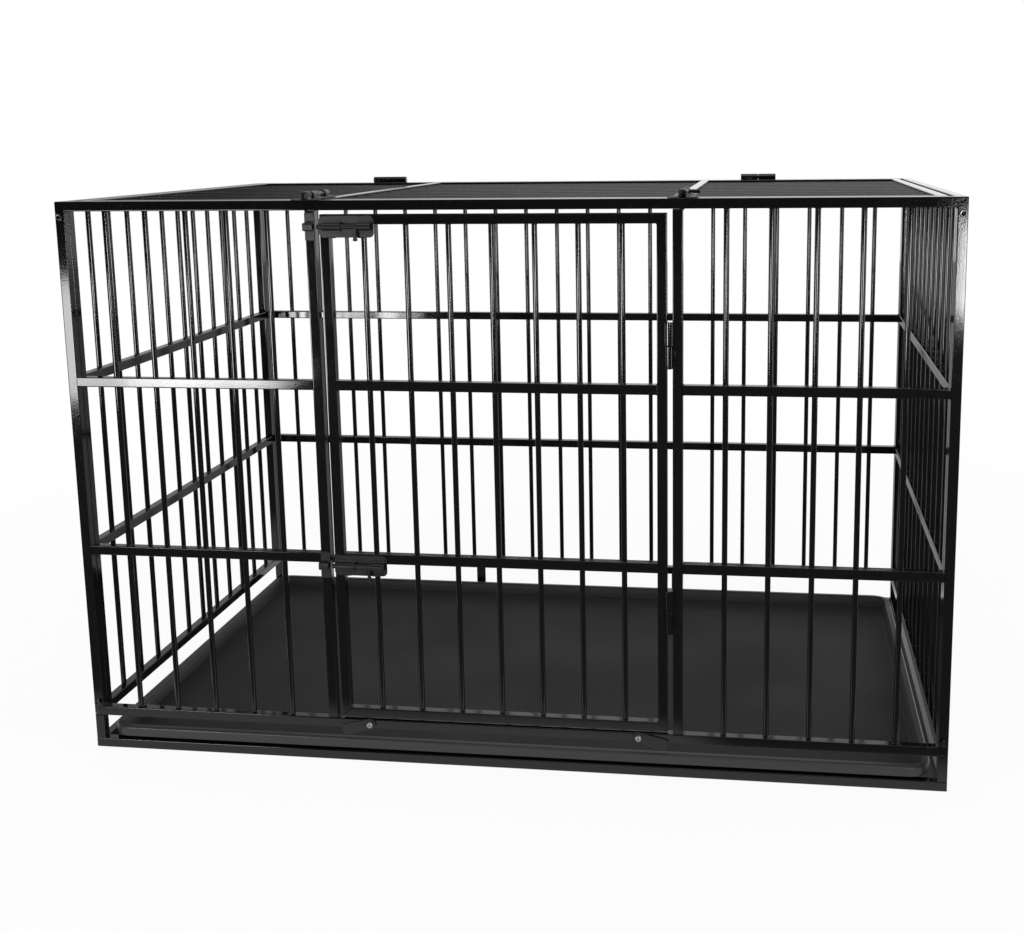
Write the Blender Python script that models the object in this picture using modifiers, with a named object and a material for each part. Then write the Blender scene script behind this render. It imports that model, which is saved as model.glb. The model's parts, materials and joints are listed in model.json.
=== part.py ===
"""A bolted steel dog crate: four barred panels on a base frame, a door, a lid and a slide-out tray.

Metres, +Z up, +X to the right of someone who faces the door, and the door at the -Y side. The origin
is on the floor under the middle of the crate. The crate stands closed, with its slide bolts drawn back
and the two tray latches at the front turned aside.
"""

import math

import bmesh
import bpy
from mathutils import Matrix, Vector

# Driving dimensions of the crate
CRATE_WIDTH = 1.150
CRATE_DEPTH = 0.6915
CRATE_HEIGHT = 0.7525
TUBE = 0.0127
BAR_RADIUS = 0.0036
BAR_PITCH = 0.0546
BAR_SINK = 0.003
UPPER_RAIL_HEIGHT = 0.5155
LOWER_RAIL_HEIGHT = 0.2843
BASE_HEIGHT = 0.0465
BASE_CROSS_SPACING = 0.380
SEAM = 0.0003

# Door and lid
DOOR_POST_SPACING = 0.4645
HINGE_GAP = 0.0068
LATCH_GAP = 0.0062
DOOR_TOP_GAP = 0.0051
DOOR_SILL_GAP = 0.0030
LID_GAP = 0.0070

# Lift-off hinges
BARREL_RADIUS = 0.0055
DOOR_PIN_BARREL_RADIUS = 0.0044
BARREL_LENGTH = 0.0290
BARREL_GAP = 0.0004
BARREL_CHAMFER = 0.0007
PIN_RADIUS = 0.0025
PIN_LENGTH = 0.0230
PIN_CLEARANCE = 0.0004
WELD_RADIUS = 0.0022
WELD_LENGTH = 0.0150
WELD_SHARE = 0.0015
AXIS_SHIFT = 0.0004
UPPER_HINGE_HEIGHT = 0.5725
LOWER_HINGE_HEIGHT = 0.2280
LID_HINGE_SPACING = 0.6440

# Slide bolts and their keepers
PLATE_LENGTH = 0.0710
PLATE_WIDTH = 0.0275
PLATE_THICKNESS = 0.0016
PLATE_CORNER = 0.0060
PLATE_EDGE = 0.0015
ROD_RADIUS = 0.0032
ROD_CLEARANCE = 0.0005
BORE_TO_PLATE = 0.0002
GUIDE_WALL = 0.0010
GUIDE_START = 0.0050
GUIDE_LENGTH = 0.0240
REAR_GUIDE_LENGTH = 0.0180
ROD_LENGTH = 0.0560
ROD_TAIL = 0.0040
ROD_CHAMFER = 0.0012
HANDLE_RADIUS = 0.0023
HANDLE_LENGTH = 0.0180
HANDLE_CAP_RADIUS = 0.0029
HANDLE_CAP_LENGTH = 0.0030
KEEPER_LENGTH = 0.0350
KEEPER_WIDTH = 0.0130
KEEPER_WALL = 0.0012
KEEPER_CLEARANCE = 0.0006
KEEPER_CHAMFER = 0.0016
LID_BOLT_OFFSET = 0.0058

# Tray and its latches
TRAY_WIDTH = 1.1120
TRAY_FRONT_SETBACK = 0.0020
TRAY_REAR_SETBACK = 0.0405
TRAY_CORNER = 0.0280
TRAY_WALL = 0.0022
TRAY_RIM_TOP = 0.0305
TRAY_RIM_DROP = 0.0138
TRAY_RIM_WIDTH = 0.0070
TRAY_DRAFT = 0.0040
LATCH_SPACING = 0.3620
LATCH_WIDTH = 0.0160
LATCH_REACH = 0.0390
LATCH_THICKNESS = 0.0020
LATCH_TURN = math.radians(76)
LATCH_SCREW_RADIUS = 0.0027
LATCH_SCREW_DEPTH = 0.0080
SCREW_CLEARANCE = 0.0004
SCREW_HEAD_RADIUS = 0.0045
SCREW_HEAD_HEIGHT = 0.0032

# Corner bolts
CORNER_BOLT_DROP = 0.0195
CORNER_BOLT_RADIUS = 0.0028
CORNER_BOLT_GRIP = 0.0090
CORNER_HEAD_RADIUS = 0.0044
CORNER_HEAD_HEIGHT = 0.0034
HEAD_CHAMFER = 0.0006
SOCKET_WIDTH = 0.0040
SOCKET_DEPTH = 0.0020
SHANK_LAP = 0.0005

# Facets round a circle, and how meshes are joined, shaded and marked
BAR_SIDES = 8
ROUND_SIDES = 12
SOCKET_SIDES = 6
CORNER_STEPS = 4
MERGE_DISTANCE = 0.00001
SHARP_ANGLE = math.radians(35)
MARK_SIZE = 0.03

# Places worked out from the sizes above
PANEL_BOTTOM = BASE_HEIGHT + SEAM
HALF_WIDTH = CRATE_WIDTH / 2
POST_X = HALF_WIDTH - TUBE / 2
DOOR_POST_X = DOOR_POST_SPACING / 2
HINGE_GAP_HALF = HINGE_GAP / 2
STILE_OFFSET = HINGE_GAP_HALF - AXIS_SHIFT
SEATED_RADIUS = BARREL_RADIUS + SEAM
DOOR_AXIS_REACH = math.sqrt(SEATED_RADIUS**2 - STILE_OFFSET**2)
LID_AXIS_REACH = math.sqrt(SEATED_RADIUS**2 - (LID_GAP / 2) ** 2)
ROD_REACH = SEAM + PLATE_THICKNESS + BORE_TO_PLATE + ROD_CLEARANCE + ROD_RADIUS
GUIDE_RADIUS = ROD_RADIUS + ROD_CLEARANCE + GUIDE_WALL
FRONT_REACH = max(DOOR_AXIS_REACH + BARREL_RADIUS, ROD_REACH + GUIDE_RADIUS)
REAR_REACH = LATCH_THICKNESS + 2 * SEAM + SCREW_HEAD_HEIGHT
MIDDLE_Y = (FRONT_REACH - REAR_REACH) / 2
FRONT_Y = MIDDLE_Y - CRATE_DEPTH / 2
REAR_Y = MIDDLE_Y + CRATE_DEPTH / 2
SIDE_LENGTH = CRATE_DEPTH - 2 * TUBE - 2 * SEAM
RAIL_HEIGHTS = (LOWER_RAIL_HEIGHT, UPPER_RAIL_HEIGHT)

DOOR_LEFT = -DOOR_POST_X + TUBE / 2 + LATCH_GAP
DOOR_RIGHT = DOOR_POST_X - TUBE / 2 - HINGE_GAP
DOOR_BOTTOM = PANEL_BOTTOM + TUBE + DOOR_SILL_GAP
DOOR_TOP = CRATE_HEIGHT - TUBE - DOOR_TOP_GAP
DOOR_AXIS = Vector((DOOR_RIGHT + STILE_OFFSET, FRONT_Y - DOOR_AXIS_REACH, 0))
LID_HALF_X = HALF_WIDTH - TUBE - LID_GAP
LID_HALF_Y = CRATE_DEPTH / 2 - TUBE - LID_GAP
LID_AXIS = Vector((0, MIDDLE_Y + LID_HALF_Y + LID_GAP / 2, CRATE_HEIGHT + LID_AXIS_REACH))

TRAY_FLOOR = TUBE + SEAM
TRAY_FRONT = FRONT_Y + TRAY_FRONT_SETBACK
TRAY_BACK = REAR_Y - TRAY_REAR_SETBACK
LATCH_HEIGHT = PANEL_BOTTOM + TUBE / 2

# Directions
RIGHT = Vector((1, 0, 0))
BACK = Vector((0, 1, 0))
UP = Vector((0, 0, 1))

# Turns from a panel's own plane to its place: front and rear panels, side panels
UPRIGHT = Matrix.Rotation(math.pi / 2, 4, "X")
SIDEWAYS = Matrix.Rotation(math.pi / 2, 4, "Z") @ UPRIGHT

# Turns an outline's X to Z and its Y to -Y, so that its thickness lies along X
FACING_ALONG = Matrix(((0, 0, 1, 0), (0, -1, 0, 0), (1, 0, 0, 0), (0, 0, 0, 1)))

# Colour, metallic value and roughness of each finish
FINISHES = {
    "black_steel": ((0.035, 0.036, 0.038, 1.0), 0.55, 0.38),
    "bright_steel": ((0.55, 0.55, 0.54, 1.0), 1.0, 0.30),
    "tray_plastic": ((0.055, 0.056, 0.058, 1.0), 0.0, 0.60),
}


def clear_scene():
    for obj in list(bpy.data.objects):
        bpy.data.objects.remove(obj, do_unlink=True)


def new_collection(name):
    collection = bpy.data.collections.new(name)
    bpy.context.scene.collection.children.link(collection)
    return collection


def new_material(name):
    colour, metallic, roughness = FINISHES[name]
    material = bpy.data.materials.new(name)
    material.use_nodes = True
    shader = material.node_tree.nodes["Principled BSDF"]
    shader.inputs["Base Color"].default_value = colour
    shader.inputs["Metallic"].default_value = metallic
    shader.inputs["Roughness"].default_value = roughness
    return material


clear_scene()
crate_parts = new_collection("dog_crate")
helpers = new_collection("dog_crate_helpers")
finishes = {name: new_material(name) for name in FINISHES}


def axis_empty(name, location, parent=None):
    """An empty on a joint's axis, or at a place that pieces hang from."""
    empty = bpy.data.objects.new(name, None)
    empty.location = location
    empty.empty_display_size = MARK_SIZE
    crate_parts.objects.link(empty)
    if parent is not None:
        set_parent(empty, parent)
    return empty


def world_place(obj):
    """Where an object stands, through its parents."""
    place = obj.matrix_basis.copy()
    if obj.parent is not None:
        place = world_place(obj.parent) @ place
    return place


def set_parent(obj, parent):
    """Parents an object and leaves it where it stands."""
    place = world_place(obj)
    obj.parent = parent
    obj.matrix_basis = world_place(parent).inverted() @ place


def new_piece(name, mesh, finish, place=Matrix.Identity(4), parent=None):
    """A visible piece: the mesh, its material and where it stands."""
    obj = bpy.data.objects.new(name, mesh)
    crate_parts.objects.link(obj)
    obj.matrix_basis = place
    mesh.materials.clear()
    mesh.materials.append(finishes[finish])
    mesh.shade_smooth()
    mesh.set_sharp_from_angle(angle=SHARP_ANGLE)
    if parent is not None:
        set_parent(obj, parent)
    return obj


def new_helper(name, mesh, place=Matrix.Identity(4)):
    """A cutter or an added shape that only a Boolean reads."""
    obj = bpy.data.objects.new(name, mesh)
    helpers.objects.link(obj)
    obj.matrix_basis = place
    obj.hide_render = True
    obj.display_type = "WIRE"
    return obj


def boolean(obj, other, operation):
    modifier = obj.modifiers.new(other.name, "BOOLEAN")
    modifier.operation = operation
    modifier.solver = "EXACT"
    modifier.object = other


def mesh_of(name, build):
    """A mesh filled by a function that takes a bmesh."""
    mesh = bpy.data.meshes.new(name)
    shape = bmesh.new()
    build(shape)
    shape.to_mesh(mesh)
    shape.free()
    return mesh


def add_box(shape, low, high):
    low, high = Vector(low), Vector(high)
    size = high - low
    place = Matrix.Translation((low + high) / 2) @ Matrix.Diagonal((size.x, size.y, size.z, 1))
    bmesh.ops.create_cube(shape, size=1, matrix=place)


def add_rod(shape, start, end, radius, sides=ROUND_SIDES):
    """A closed cylinder from one point to another."""
    start, end = Vector(start), Vector(end)
    along = end - start
    turn = along.to_track_quat("Z", "Y").to_matrix().to_4x4()
    bmesh.ops.create_cone(
        shape,
        cap_ends=True,
        segments=sides,
        radius1=radius,
        radius2=radius,
        depth=along.length,
        matrix=Matrix.Translation((start + end) / 2) @ turn,
    )


def rods_mesh(name, runs, radius, sides=ROUND_SIDES):
    """Several cylinders in one mesh, each given by its two ends."""

    def build(shape):
        for start, end in runs:
            add_rod(shape, start, end, radius, sides)

    return mesh_of(name, build)


def turned_shape(obj, sides=ROUND_SIDES):
    """Turns an object's profile about its own Z axis."""
    screw = obj.modifiers.new("turned", "SCREW")
    screw.steps = sides
    screw.render_steps = sides
    screw.use_merge_vertices = True
    screw.merge_threshold = MERGE_DISTANCE
    return obj


def profile_mesh(name, points):
    """A profile to turn: (radius, height) from the top of the axis, down the outside, to its foot."""

    def build(shape):
        verts = [shape.verts.new((radius, 0, height)) for radius, height in points]
        for upper, lower in zip(verts, verts[1:]):
            shape.edges.new((upper, lower))

    return mesh_of(name, build)


def chamfered_profile(name, length, radius, top, foot=0):
    """The profile of a rod whose ends are chamfered by the two sizes given."""
    points = [(0, length), (radius - top, length), (radius, length - top)]
    points += [(radius, foot), (radius - foot, 0), (0, 0)]
    if not foot:
        del points[3]
    if not top:
        del points[1]
    return profile_mesh(name, points)


def standing_on(start, along):
    """A place at a point, with its Z axis in the direction given."""
    return Matrix.Translation(start) @ Vector(along).to_track_quat("Z", "Y").to_matrix().to_4x4()


def outline_mesh(name, outlines, thickness):
    """A flat plate in its own XY plane: the first outline is its edge and the others are its holes."""
    curve = bpy.data.curves.new(name, "CURVE")
    curve.dimensions = "2D"
    curve.fill_mode = "BOTH"
    curve.extrude = thickness / 2
    for outline in outlines:
        spline = curve.splines.new("POLY")
        spline.points.add(len(outline) - 1)
        for point, (x, y) in zip(spline.points, outline):
            point.co = (x, y, 0, 1)
        spline.use_cyclic_u = True
    guide = bpy.data.objects.new(name, curve)
    helpers.objects.link(guide)
    bpy.context.view_layer.update()
    mesh = bpy.data.meshes.new_from_object(guide.evaluated_get(bpy.context.evaluated_depsgraph_get()))
    bpy.data.objects.remove(guide)
    shape = bmesh.new()
    shape.from_mesh(mesh)
    bmesh.ops.remove_doubles(shape, verts=shape.verts, dist=MERGE_DISTANCE)
    flat = [face for face in shape.faces if len(face.verts) == 3]
    bmesh.ops.beautify_fill(shape, faces=flat, edges=shape.edges)
    bmesh.ops.recalc_face_normals(shape, faces=shape.faces)
    shape.to_mesh(mesh)
    shape.free()
    mesh.name = name
    return mesh


def rectangle(left, right, bottom, top):
    return [(left, bottom), (right, bottom), (right, top), (left, top)]


def rounded_rectangle(left, right, bottom, top, radius, steps=CORNER_STEPS):
    """A rectangle with quarter-circle corners, anticlockwise from the lower right."""
    centres = (
        (right - radius, bottom + radius, -90),
        (right - radius, top - radius, 0),
        (left + radius, top - radius, 90),
        (left + radius, bottom + radius, 180),
    )
    points = []
    for x, y, start in centres:
        for step in range(steps + 1):
            angle = math.radians(start + 90 * step / steps)
            points.append((x + radius * math.cos(angle), y + radius * math.sin(angle)))
    return points


def arc_points(radius, sweep):
    """Points round the origin from the X axis through the angle given."""
    angles = [sweep * i / ROUND_SIDES for i in range(ROUND_SIDES + 1)]
    return [(radius * math.cos(angle), radius * math.sin(angle)) for angle in angles]


def bar_places(low, high):
    """Centres of the bars between two posts: the pitch is fixed and the end bays take up the rest."""
    bays = max(2, round((high - low) / BAR_PITCH))
    middle = (low + high) / 2
    return [middle + (i - bays / 2) * BAR_PITCH for i in range(1, bays)]


def windows_between(posts, rails):
    """The openings of a frame: posts and rails are given by their centre lines, TUBE wide."""
    half = TUBE / 2
    openings = []
    for left, right in zip(posts, posts[1:]):
        for bottom, top in zip(rails, rails[1:]):
            openings.append(rectangle(left + half, right - half, bottom + half, top - half))
    return openings


def upright_bars(places, bottom, top):
    """Bars in a panel's own plane, sunk a little into the rails at both ends."""
    runs = [((x, bottom - BAR_SINK, 0), (x, top + BAR_SINK, 0)) for x in places]
    return rods_mesh("bars", runs, BAR_RADIUS, BAR_SIDES)


def make_panel(name, outer, windows, bars, place, parent):
    """A welded panel: one flat frame of square tube and its round bars."""
    frame = outline_mesh(name, [outer, *windows], TUBE)
    panel = new_piece(name, frame, "black_steel", place, parent)
    boolean(panel, new_helper(f"{name}_bars", bars, place), "UNION")
    return panel


crate = axis_empty("crate", (0, 0, 0))


def make_front_rails():
    """The front panel's top and bottom rails, mitred at both ends to meet its corner posts."""
    inner = HALF_WIDTH - TUBE
    place = Matrix.Translation((0, FRONT_Y + TUBE / 2, 0)) @ UPRIGHT
    rails = []
    for level, edge, inside in (("top", CRATE_HEIGHT, -TUBE), ("bottom", PANEL_BOTTOM, TUBE)):
        outline = [(-HALF_WIDTH, edge), (HALF_WIDTH, edge), (inner, edge + inside), (-inner, edge + inside)]
        name = f"front_{level}_rail"
        rails.append(new_piece(name, outline_mesh(name, [outline], TUBE), "black_steel", place, crate))
    return rails


def make_front_section(name, side):
    """The barred part between a corner post, whose mitred ends meet the rails, and a door post.

    It is drawn for the right, and side is -1 for the left and 1 for the right.
    """
    half = TUBE / 2
    low, high = PANEL_BOTTOM + TUBE + SEAM, CRATE_HEIGHT - TUBE - SEAM
    mitre = SEAM * math.sqrt(2)
    post = HALF_WIDTH - TUBE
    shoulder = post + mitre - SEAM
    door_post = DOOR_POST_X + half
    top_edge, bottom_edge = UPPER_RAIL_HEIGHT + half, LOWER_RAIL_HEIGHT - half
    outline = [
        (shoulder, low),
        (HALF_WIDTH, PANEL_BOTTOM + mitre),
        (HALF_WIDTH, CRATE_HEIGHT - mitre),
        (shoulder, high),
        (post, high),
        (post, top_edge),
        (door_post, top_edge),
        (door_post, high),
        (DOOR_POST_X - half, high),
        (DOOR_POST_X - half, low),
        (door_post, low),
        (door_post, bottom_edge),
        (post, bottom_edge),
        (post, low),
    ]
    window = rectangle(door_post, post, LOWER_RAIL_HEIGHT + half, UPPER_RAIL_HEIGHT - half)
    outer, opening = [[(side * x, y) for x, y in points] for points in (outline, window)]
    runs = [((side * x, low, 0), (side * x, high, 0)) for x in bar_places(DOOR_POST_X, POST_X)]
    bars = rods_mesh("bars", runs, BAR_RADIUS, BAR_SIDES)
    place = Matrix.Translation((0, FRONT_Y + half, 0)) @ UPRIGHT
    return make_panel(name, outer, [opening], bars, place, crate)


def make_full_panel(name, half_length, place):
    """A barred panel with no opening: the rear and the two sides."""
    rails = (PANEL_BOTTOM + TUBE / 2, *RAIL_HEIGHTS, CRATE_HEIGHT - TUBE / 2)
    posts = (-half_length + TUBE / 2, half_length - TUBE / 2)
    outer = rectangle(-half_length, half_length, PANEL_BOTTOM, CRATE_HEIGHT)
    bars = upright_bars(bar_places(*posts), PANEL_BOTTOM + TUBE, CRATE_HEIGHT - TUBE)
    return make_panel(name, outer, windows_between(posts, rails), bars, place, crate)


def make_base_frame():
    """The floor frame that carries the tray, with a short post under each corner of the panels."""
    half_depth = CRATE_DEPTH / 2
    cross = BASE_CROSS_SPACING / 2
    outer = rectangle(-HALF_WIDTH, HALF_WIDTH, -half_depth, half_depth)
    openings = windows_between(
        (-POST_X, -cross, cross, POST_X), (-half_depth + TUBE / 2, half_depth - TUBE / 2)
    )
    place = Matrix.Translation((0, MIDDLE_Y, TUBE / 2))
    frame = outline_mesh("base_frame", [outer, *openings], TUBE)
    base = new_piece("base_frame", frame, "black_steel", place, crate)

    def build(shape):
        for x in (-POST_X, POST_X):
            for y in (FRONT_Y + TUBE / 2, REAR_Y - TUBE / 2):
                half = TUBE / 2
                add_box(shape, (x - half, y - half, TUBE / 2), (x + half, y + half, BASE_HEIGHT))

    boolean(base, new_helper("base_posts", mesh_of("base_posts", build)), "UNION")
    return base


def make_door():
    """The door's frame, with its two middle rails in line with the panel's."""
    half = TUBE / 2
    rails = (DOOR_BOTTOM + half, *RAIL_HEIGHTS, DOOR_TOP - half)
    posts = (DOOR_LEFT + half, DOOR_RIGHT - half)
    outer = rectangle(DOOR_LEFT, DOOR_RIGHT, DOOR_BOTTOM, DOOR_TOP)
    bars = upright_bars(bar_places(*posts), DOOR_BOTTOM + TUBE, DOOR_TOP - TUBE)
    place = Matrix.Translation((0, FRONT_Y + half, 0)) @ UPRIGHT
    return make_panel("door", outer, windows_between(posts, rails), bars, place, door_axis)


def make_lid():
    """The lid's frame, whose bars run from side to side through two cross members behind the door posts."""
    half = TUBE / 2
    outer = rectangle(-LID_HALF_X, LID_HALF_X, -LID_HALF_Y, LID_HALF_Y)
    ends = (-LID_HALF_Y + half, LID_HALF_Y - half)
    posts = (-LID_HALF_X + half, -DOOR_POST_X, DOOR_POST_X, LID_HALF_X - half)
    reach = LID_HALF_X - TUBE + BAR_SINK
    runs = [((-reach, y, 0), (reach, y, 0)) for y in bar_places(*ends)]
    bars = rods_mesh("lid_bars", runs, BAR_RADIUS, BAR_SIDES)
    place = Matrix.Translation((0, MIDDLE_Y, CRATE_HEIGHT - half))
    return make_panel("lid", outer, windows_between(posts, ends), bars, place, lid_axis)


def make_tray():
    """A shallow pan with a rim that turns out and down, made as a skin and thickened."""
    depth = TRAY_BACK - TRAY_FRONT
    half_wall = TRAY_WALL / 2
    floor = TRAY_FLOOR + half_wall
    rim = TRAY_RIM_TOP - half_wall
    inset = TRAY_RIM_WIDTH + half_wall
    rings = (
        (inset + TRAY_DRAFT, floor),
        (inset, rim),
        (half_wall, rim),
        (half_wall, TRAY_RIM_TOP - TRAY_RIM_DROP),
    )

    def build(shape):
        rows = []
        for margin, height in rings:
            outline = rounded_rectangle(
                -TRAY_WIDTH / 2 + margin,
                TRAY_WIDTH / 2 - margin,
                -depth / 2 + margin,
                depth / 2 - margin,
                TRAY_CORNER - margin,
            )
            rows.append([shape.verts.new((x, y, height)) for x, y in outline])
        shape.faces.new(rows[0])
        for lower, upper in zip(rows, rows[1:]):
            count = len(lower)
            for i in range(count):
                j = (i + 1) % count
                shape.faces.new((lower[i], lower[j], upper[j], upper[i]))
        bmesh.ops.recalc_face_normals(shape, faces=shape.faces)

    place = Matrix.Translation((0, (TRAY_FRONT + TRAY_BACK) / 2, 0))
    tray = new_piece("tray", mesh_of("tray", build), "tray_plastic", place, crate)
    skin = tray.modifiers.new("wall", "SOLIDIFY")
    skin.thickness = TRAY_WALL
    skin.offset = 0
    skin.use_even_offset = True
    return tray


def make_hinge(prefix, centre, along, out, moving_side, parts):
    """A weld-on lift-off hinge: a barrel on the moving frame over a barrel with a pin on the fixed one.

    along runs up the axis to the moving barrel, out points away from the frames, and moving_side points
    across the gap to the moving frame. parts holds the radius of the pin barrel, the axis's distance to each
    frame's edge and to their faces, and the moving barrel's parent.
    """
    pin_radius, moving_edge, fixed_edge, reach, moving_parent = parts
    half_gap = BARREL_GAP / 2
    bore = PIN_RADIUS + PIN_CLEARANCE

    def weld(side, edge, start):
        middle = centre + side * (edge + WELD_SHARE) - out * (reach - SEAM - WELD_RADIUS)
        low = middle + along * (start + (BARREL_LENGTH - WELD_LENGTH) / 2)
        return low, low + along * WELD_LENGTH

    barrel = chamfered_profile("barrel", BARREL_LENGTH, BARREL_RADIUS, BARREL_CHAMFER, BARREL_CHAMFER)
    place = standing_on(centre + along * half_gap, along)
    moving = turned_shape(new_piece(f"{prefix}_barrel", barrel, "black_steel", place, moving_parent))
    bead = rods_mesh("weld", [weld(moving_side, moving_edge, half_gap)], WELD_RADIUS, BAR_SIDES)
    boolean(moving, new_helper(f"{prefix}_barrel_weld", bead), "UNION")
    hole_top = half_gap + PIN_LENGTH + PIN_CLEARANCE
    hole = rods_mesh("hole", [(centre - along * half_gap, centre + along * hole_top)], bore)
    boolean(moving, new_helper(f"{prefix}_barrel_bore", hole), "DIFFERENCE")

    low_end = centre - along * (half_gap + BARREL_LENGTH)
    barrel = chamfered_profile("pin_barrel", BARREL_LENGTH, pin_radius, BARREL_CHAMFER, BARREL_CHAMFER)
    fixed = new_piece(f"{prefix}_pin_barrel", barrel, "black_steel", standing_on(low_end, along), crate)
    turned_shape(fixed)
    run = weld(-moving_side, fixed_edge, -half_gap - BARREL_LENGTH)
    bead = rods_mesh("weld", [run], WELD_RADIUS, BAR_SIDES)
    boolean(fixed, new_helper(f"{prefix}_pin_barrel_weld", bead), "UNION")
    pin = rods_mesh("pin", [(low_end + along * PIN_RADIUS, centre + along * PIN_LENGTH)], PIN_RADIUS)
    boolean(fixed, new_helper(f"{prefix}_pin", pin), "UNION")
    return moving, fixed


def make_slide_bolt(prefix, place, keeper_distance, handle_side, carrier):
    """A slide bolt and its keeper. In its own frame the plate lies in the XZ plane and faces -Y, its left
    end is at the origin and the rod runs along X and is thrown to -X. The handle points along Z, up for a
    handle_side of 1 and down for -1.
    """
    rod_y = -ROD_REACH
    plate_y = -SEAM - PLATE_THICKNESS / 2
    flat = Matrix.Translation((0, plate_y, 0)) @ UPRIGHT
    half_width = PLATE_WIDTH / 2
    bore = ROD_RADIUS + ROD_CLEARANCE
    guide_end = GUIDE_START + GUIDE_LENGTH
    rear_guide = PLATE_LENGTH - GUIDE_START / 2 - REAR_GUIDE_LENGTH

    outline = rounded_rectangle(0, PLATE_LENGTH, -half_width, half_width, PLATE_CORNER)
    plate = outline_mesh("plate", [outline], PLATE_THICKNESS)
    plate = new_piece(f"{prefix}_plate", plate, "black_steel", place @ flat, carrier)
    spans = ((GUIDE_START, guide_end), (rear_guide, rear_guide + REAR_GUIDE_LENGTH))
    guides = rods_mesh("guides", [((a, rod_y, 0), (b, rod_y, 0)) for a, b in spans], GUIDE_RADIUS)
    boolean(plate, new_helper(f"{prefix}_guides", guides, place), "UNION")
    hole = rods_mesh("hole", [((-PLATE_LENGTH, rod_y, 0), (2 * PLATE_LENGTH, rod_y, 0))], bore)
    boolean(plate, new_helper(f"{prefix}_guide_bore", hole, place), "DIFFERENCE")

    handle_x = rear_guide - HANDLE_RADIUS - SEAM
    tail = handle_x + HANDLE_RADIUS + ROD_TAIL
    rod = chamfered_profile("rod", ROD_LENGTH, ROD_RADIUS, ROD_CHAMFER, ROD_CHAMFER)
    rod_place = place @ standing_on((tail, rod_y, 0), -RIGHT)
    sliding = turned_shape(new_piece(f"{prefix}_rod", rod, "black_steel", rod_place, carrier))
    cap = HANDLE_LENGTH - HANDLE_CAP_LENGTH
    profile = [(0, HANDLE_LENGTH), (HANDLE_CAP_RADIUS, HANDLE_LENGTH), (HANDLE_CAP_RADIUS, cap)]
    profile += [(HANDLE_RADIUS, cap), (HANDLE_RADIUS, 0), (0, 0)]
    handle = profile_mesh("handle", profile)
    handle_place = place @ standing_on((handle_x, rod_y, 0), UP * handle_side)
    boolean(sliding, turned_shape(new_helper(f"{prefix}_handle", handle, handle_place)), "UNION")

    keeper_place = place @ Matrix.Translation((-keeper_distance, 0, 0)) @ FACING_ALONG
    keeper = new_piece(f"{prefix}_keeper", keeper_mesh(), "black_steel", keeper_place, crate)
    return plate, sliding, keeper


def keeper_mesh():
    """A strap with a squared hump for the rod, drawn on edge: X along it and Y away from its seat."""
    inner = ROD_RADIUS + KEEPER_CLEARANCE
    outer = inner + KEEPER_WALL
    roof = ROD_REACH + inner
    foot = SEAM + KEEPER_WALL
    end = KEEPER_LENGTH / 2
    half = [(inner, roof), (inner, SEAM), (end, SEAM), (end, foot), (outer, foot)]
    half += [(outer, roof + KEEPER_WALL - KEEPER_CHAMFER), (outer - KEEPER_CHAMFER, roof + KEEPER_WALL)]
    outline = half + [(-x, y) for x, y in reversed(half)]
    return outline_mesh("keeper", [outline], KEEPER_WIDTH)


def make_tray_latch(prefix, x, face_y, out, turn, panel):
    """A flat plate that turns on a screw in the bottom rail. At a turn of 0 it hangs over the tray."""
    pivot = Vector((x, face_y, LATCH_HEIGHT))
    hole = LATCH_SCREW_RADIUS + SCREW_CLEARANCE
    half = LATCH_WIDTH / 2
    crown = arc_points(half, math.pi)
    outline = [*crown, (-half, -LATCH_REACH), (half, -LATCH_REACH)]
    circle = arc_points(hole, 2 * math.pi)[:-1]
    hinge = axis_empty(f"{prefix}_axis", pivot, crate)
    middle = pivot + out * (SEAM + LATCH_THICKNESS / 2)
    place = Matrix.Translation(middle) @ Matrix.Rotation(turn, 4, "Y") @ UPRIGHT
    latch = outline_mesh(prefix, [outline, circle], LATCH_THICKNESS)
    latch = new_piece(prefix, latch, "black_steel", place, hinge)

    head = pivot + out * (LATCH_THICKNESS + 2 * SEAM)
    tip = pivot - out * LATCH_SCREW_DEPTH
    screw = chamfered_profile("head", SCREW_HEAD_HEIGHT, SCREW_HEAD_RADIUS, SCREW_HEAD_HEIGHT / 2)
    screw = turned_shape(new_piece(f"{prefix}_screw", screw, "bright_steel", standing_on(head, out), crate))
    shank = rods_mesh("shank", [(head + out * SCREW_HEAD_HEIGHT / 2, tip)], LATCH_SCREW_RADIUS)
    boolean(screw, new_helper(f"{prefix}_shank", shank), "UNION")
    well = rods_mesh("well", [(pivot + out * TUBE, tip - out * SEAM)], hole)
    boolean(panel, new_helper(f"{prefix}_well", well), "DIFFERENCE")
    return latch, screw


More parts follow.
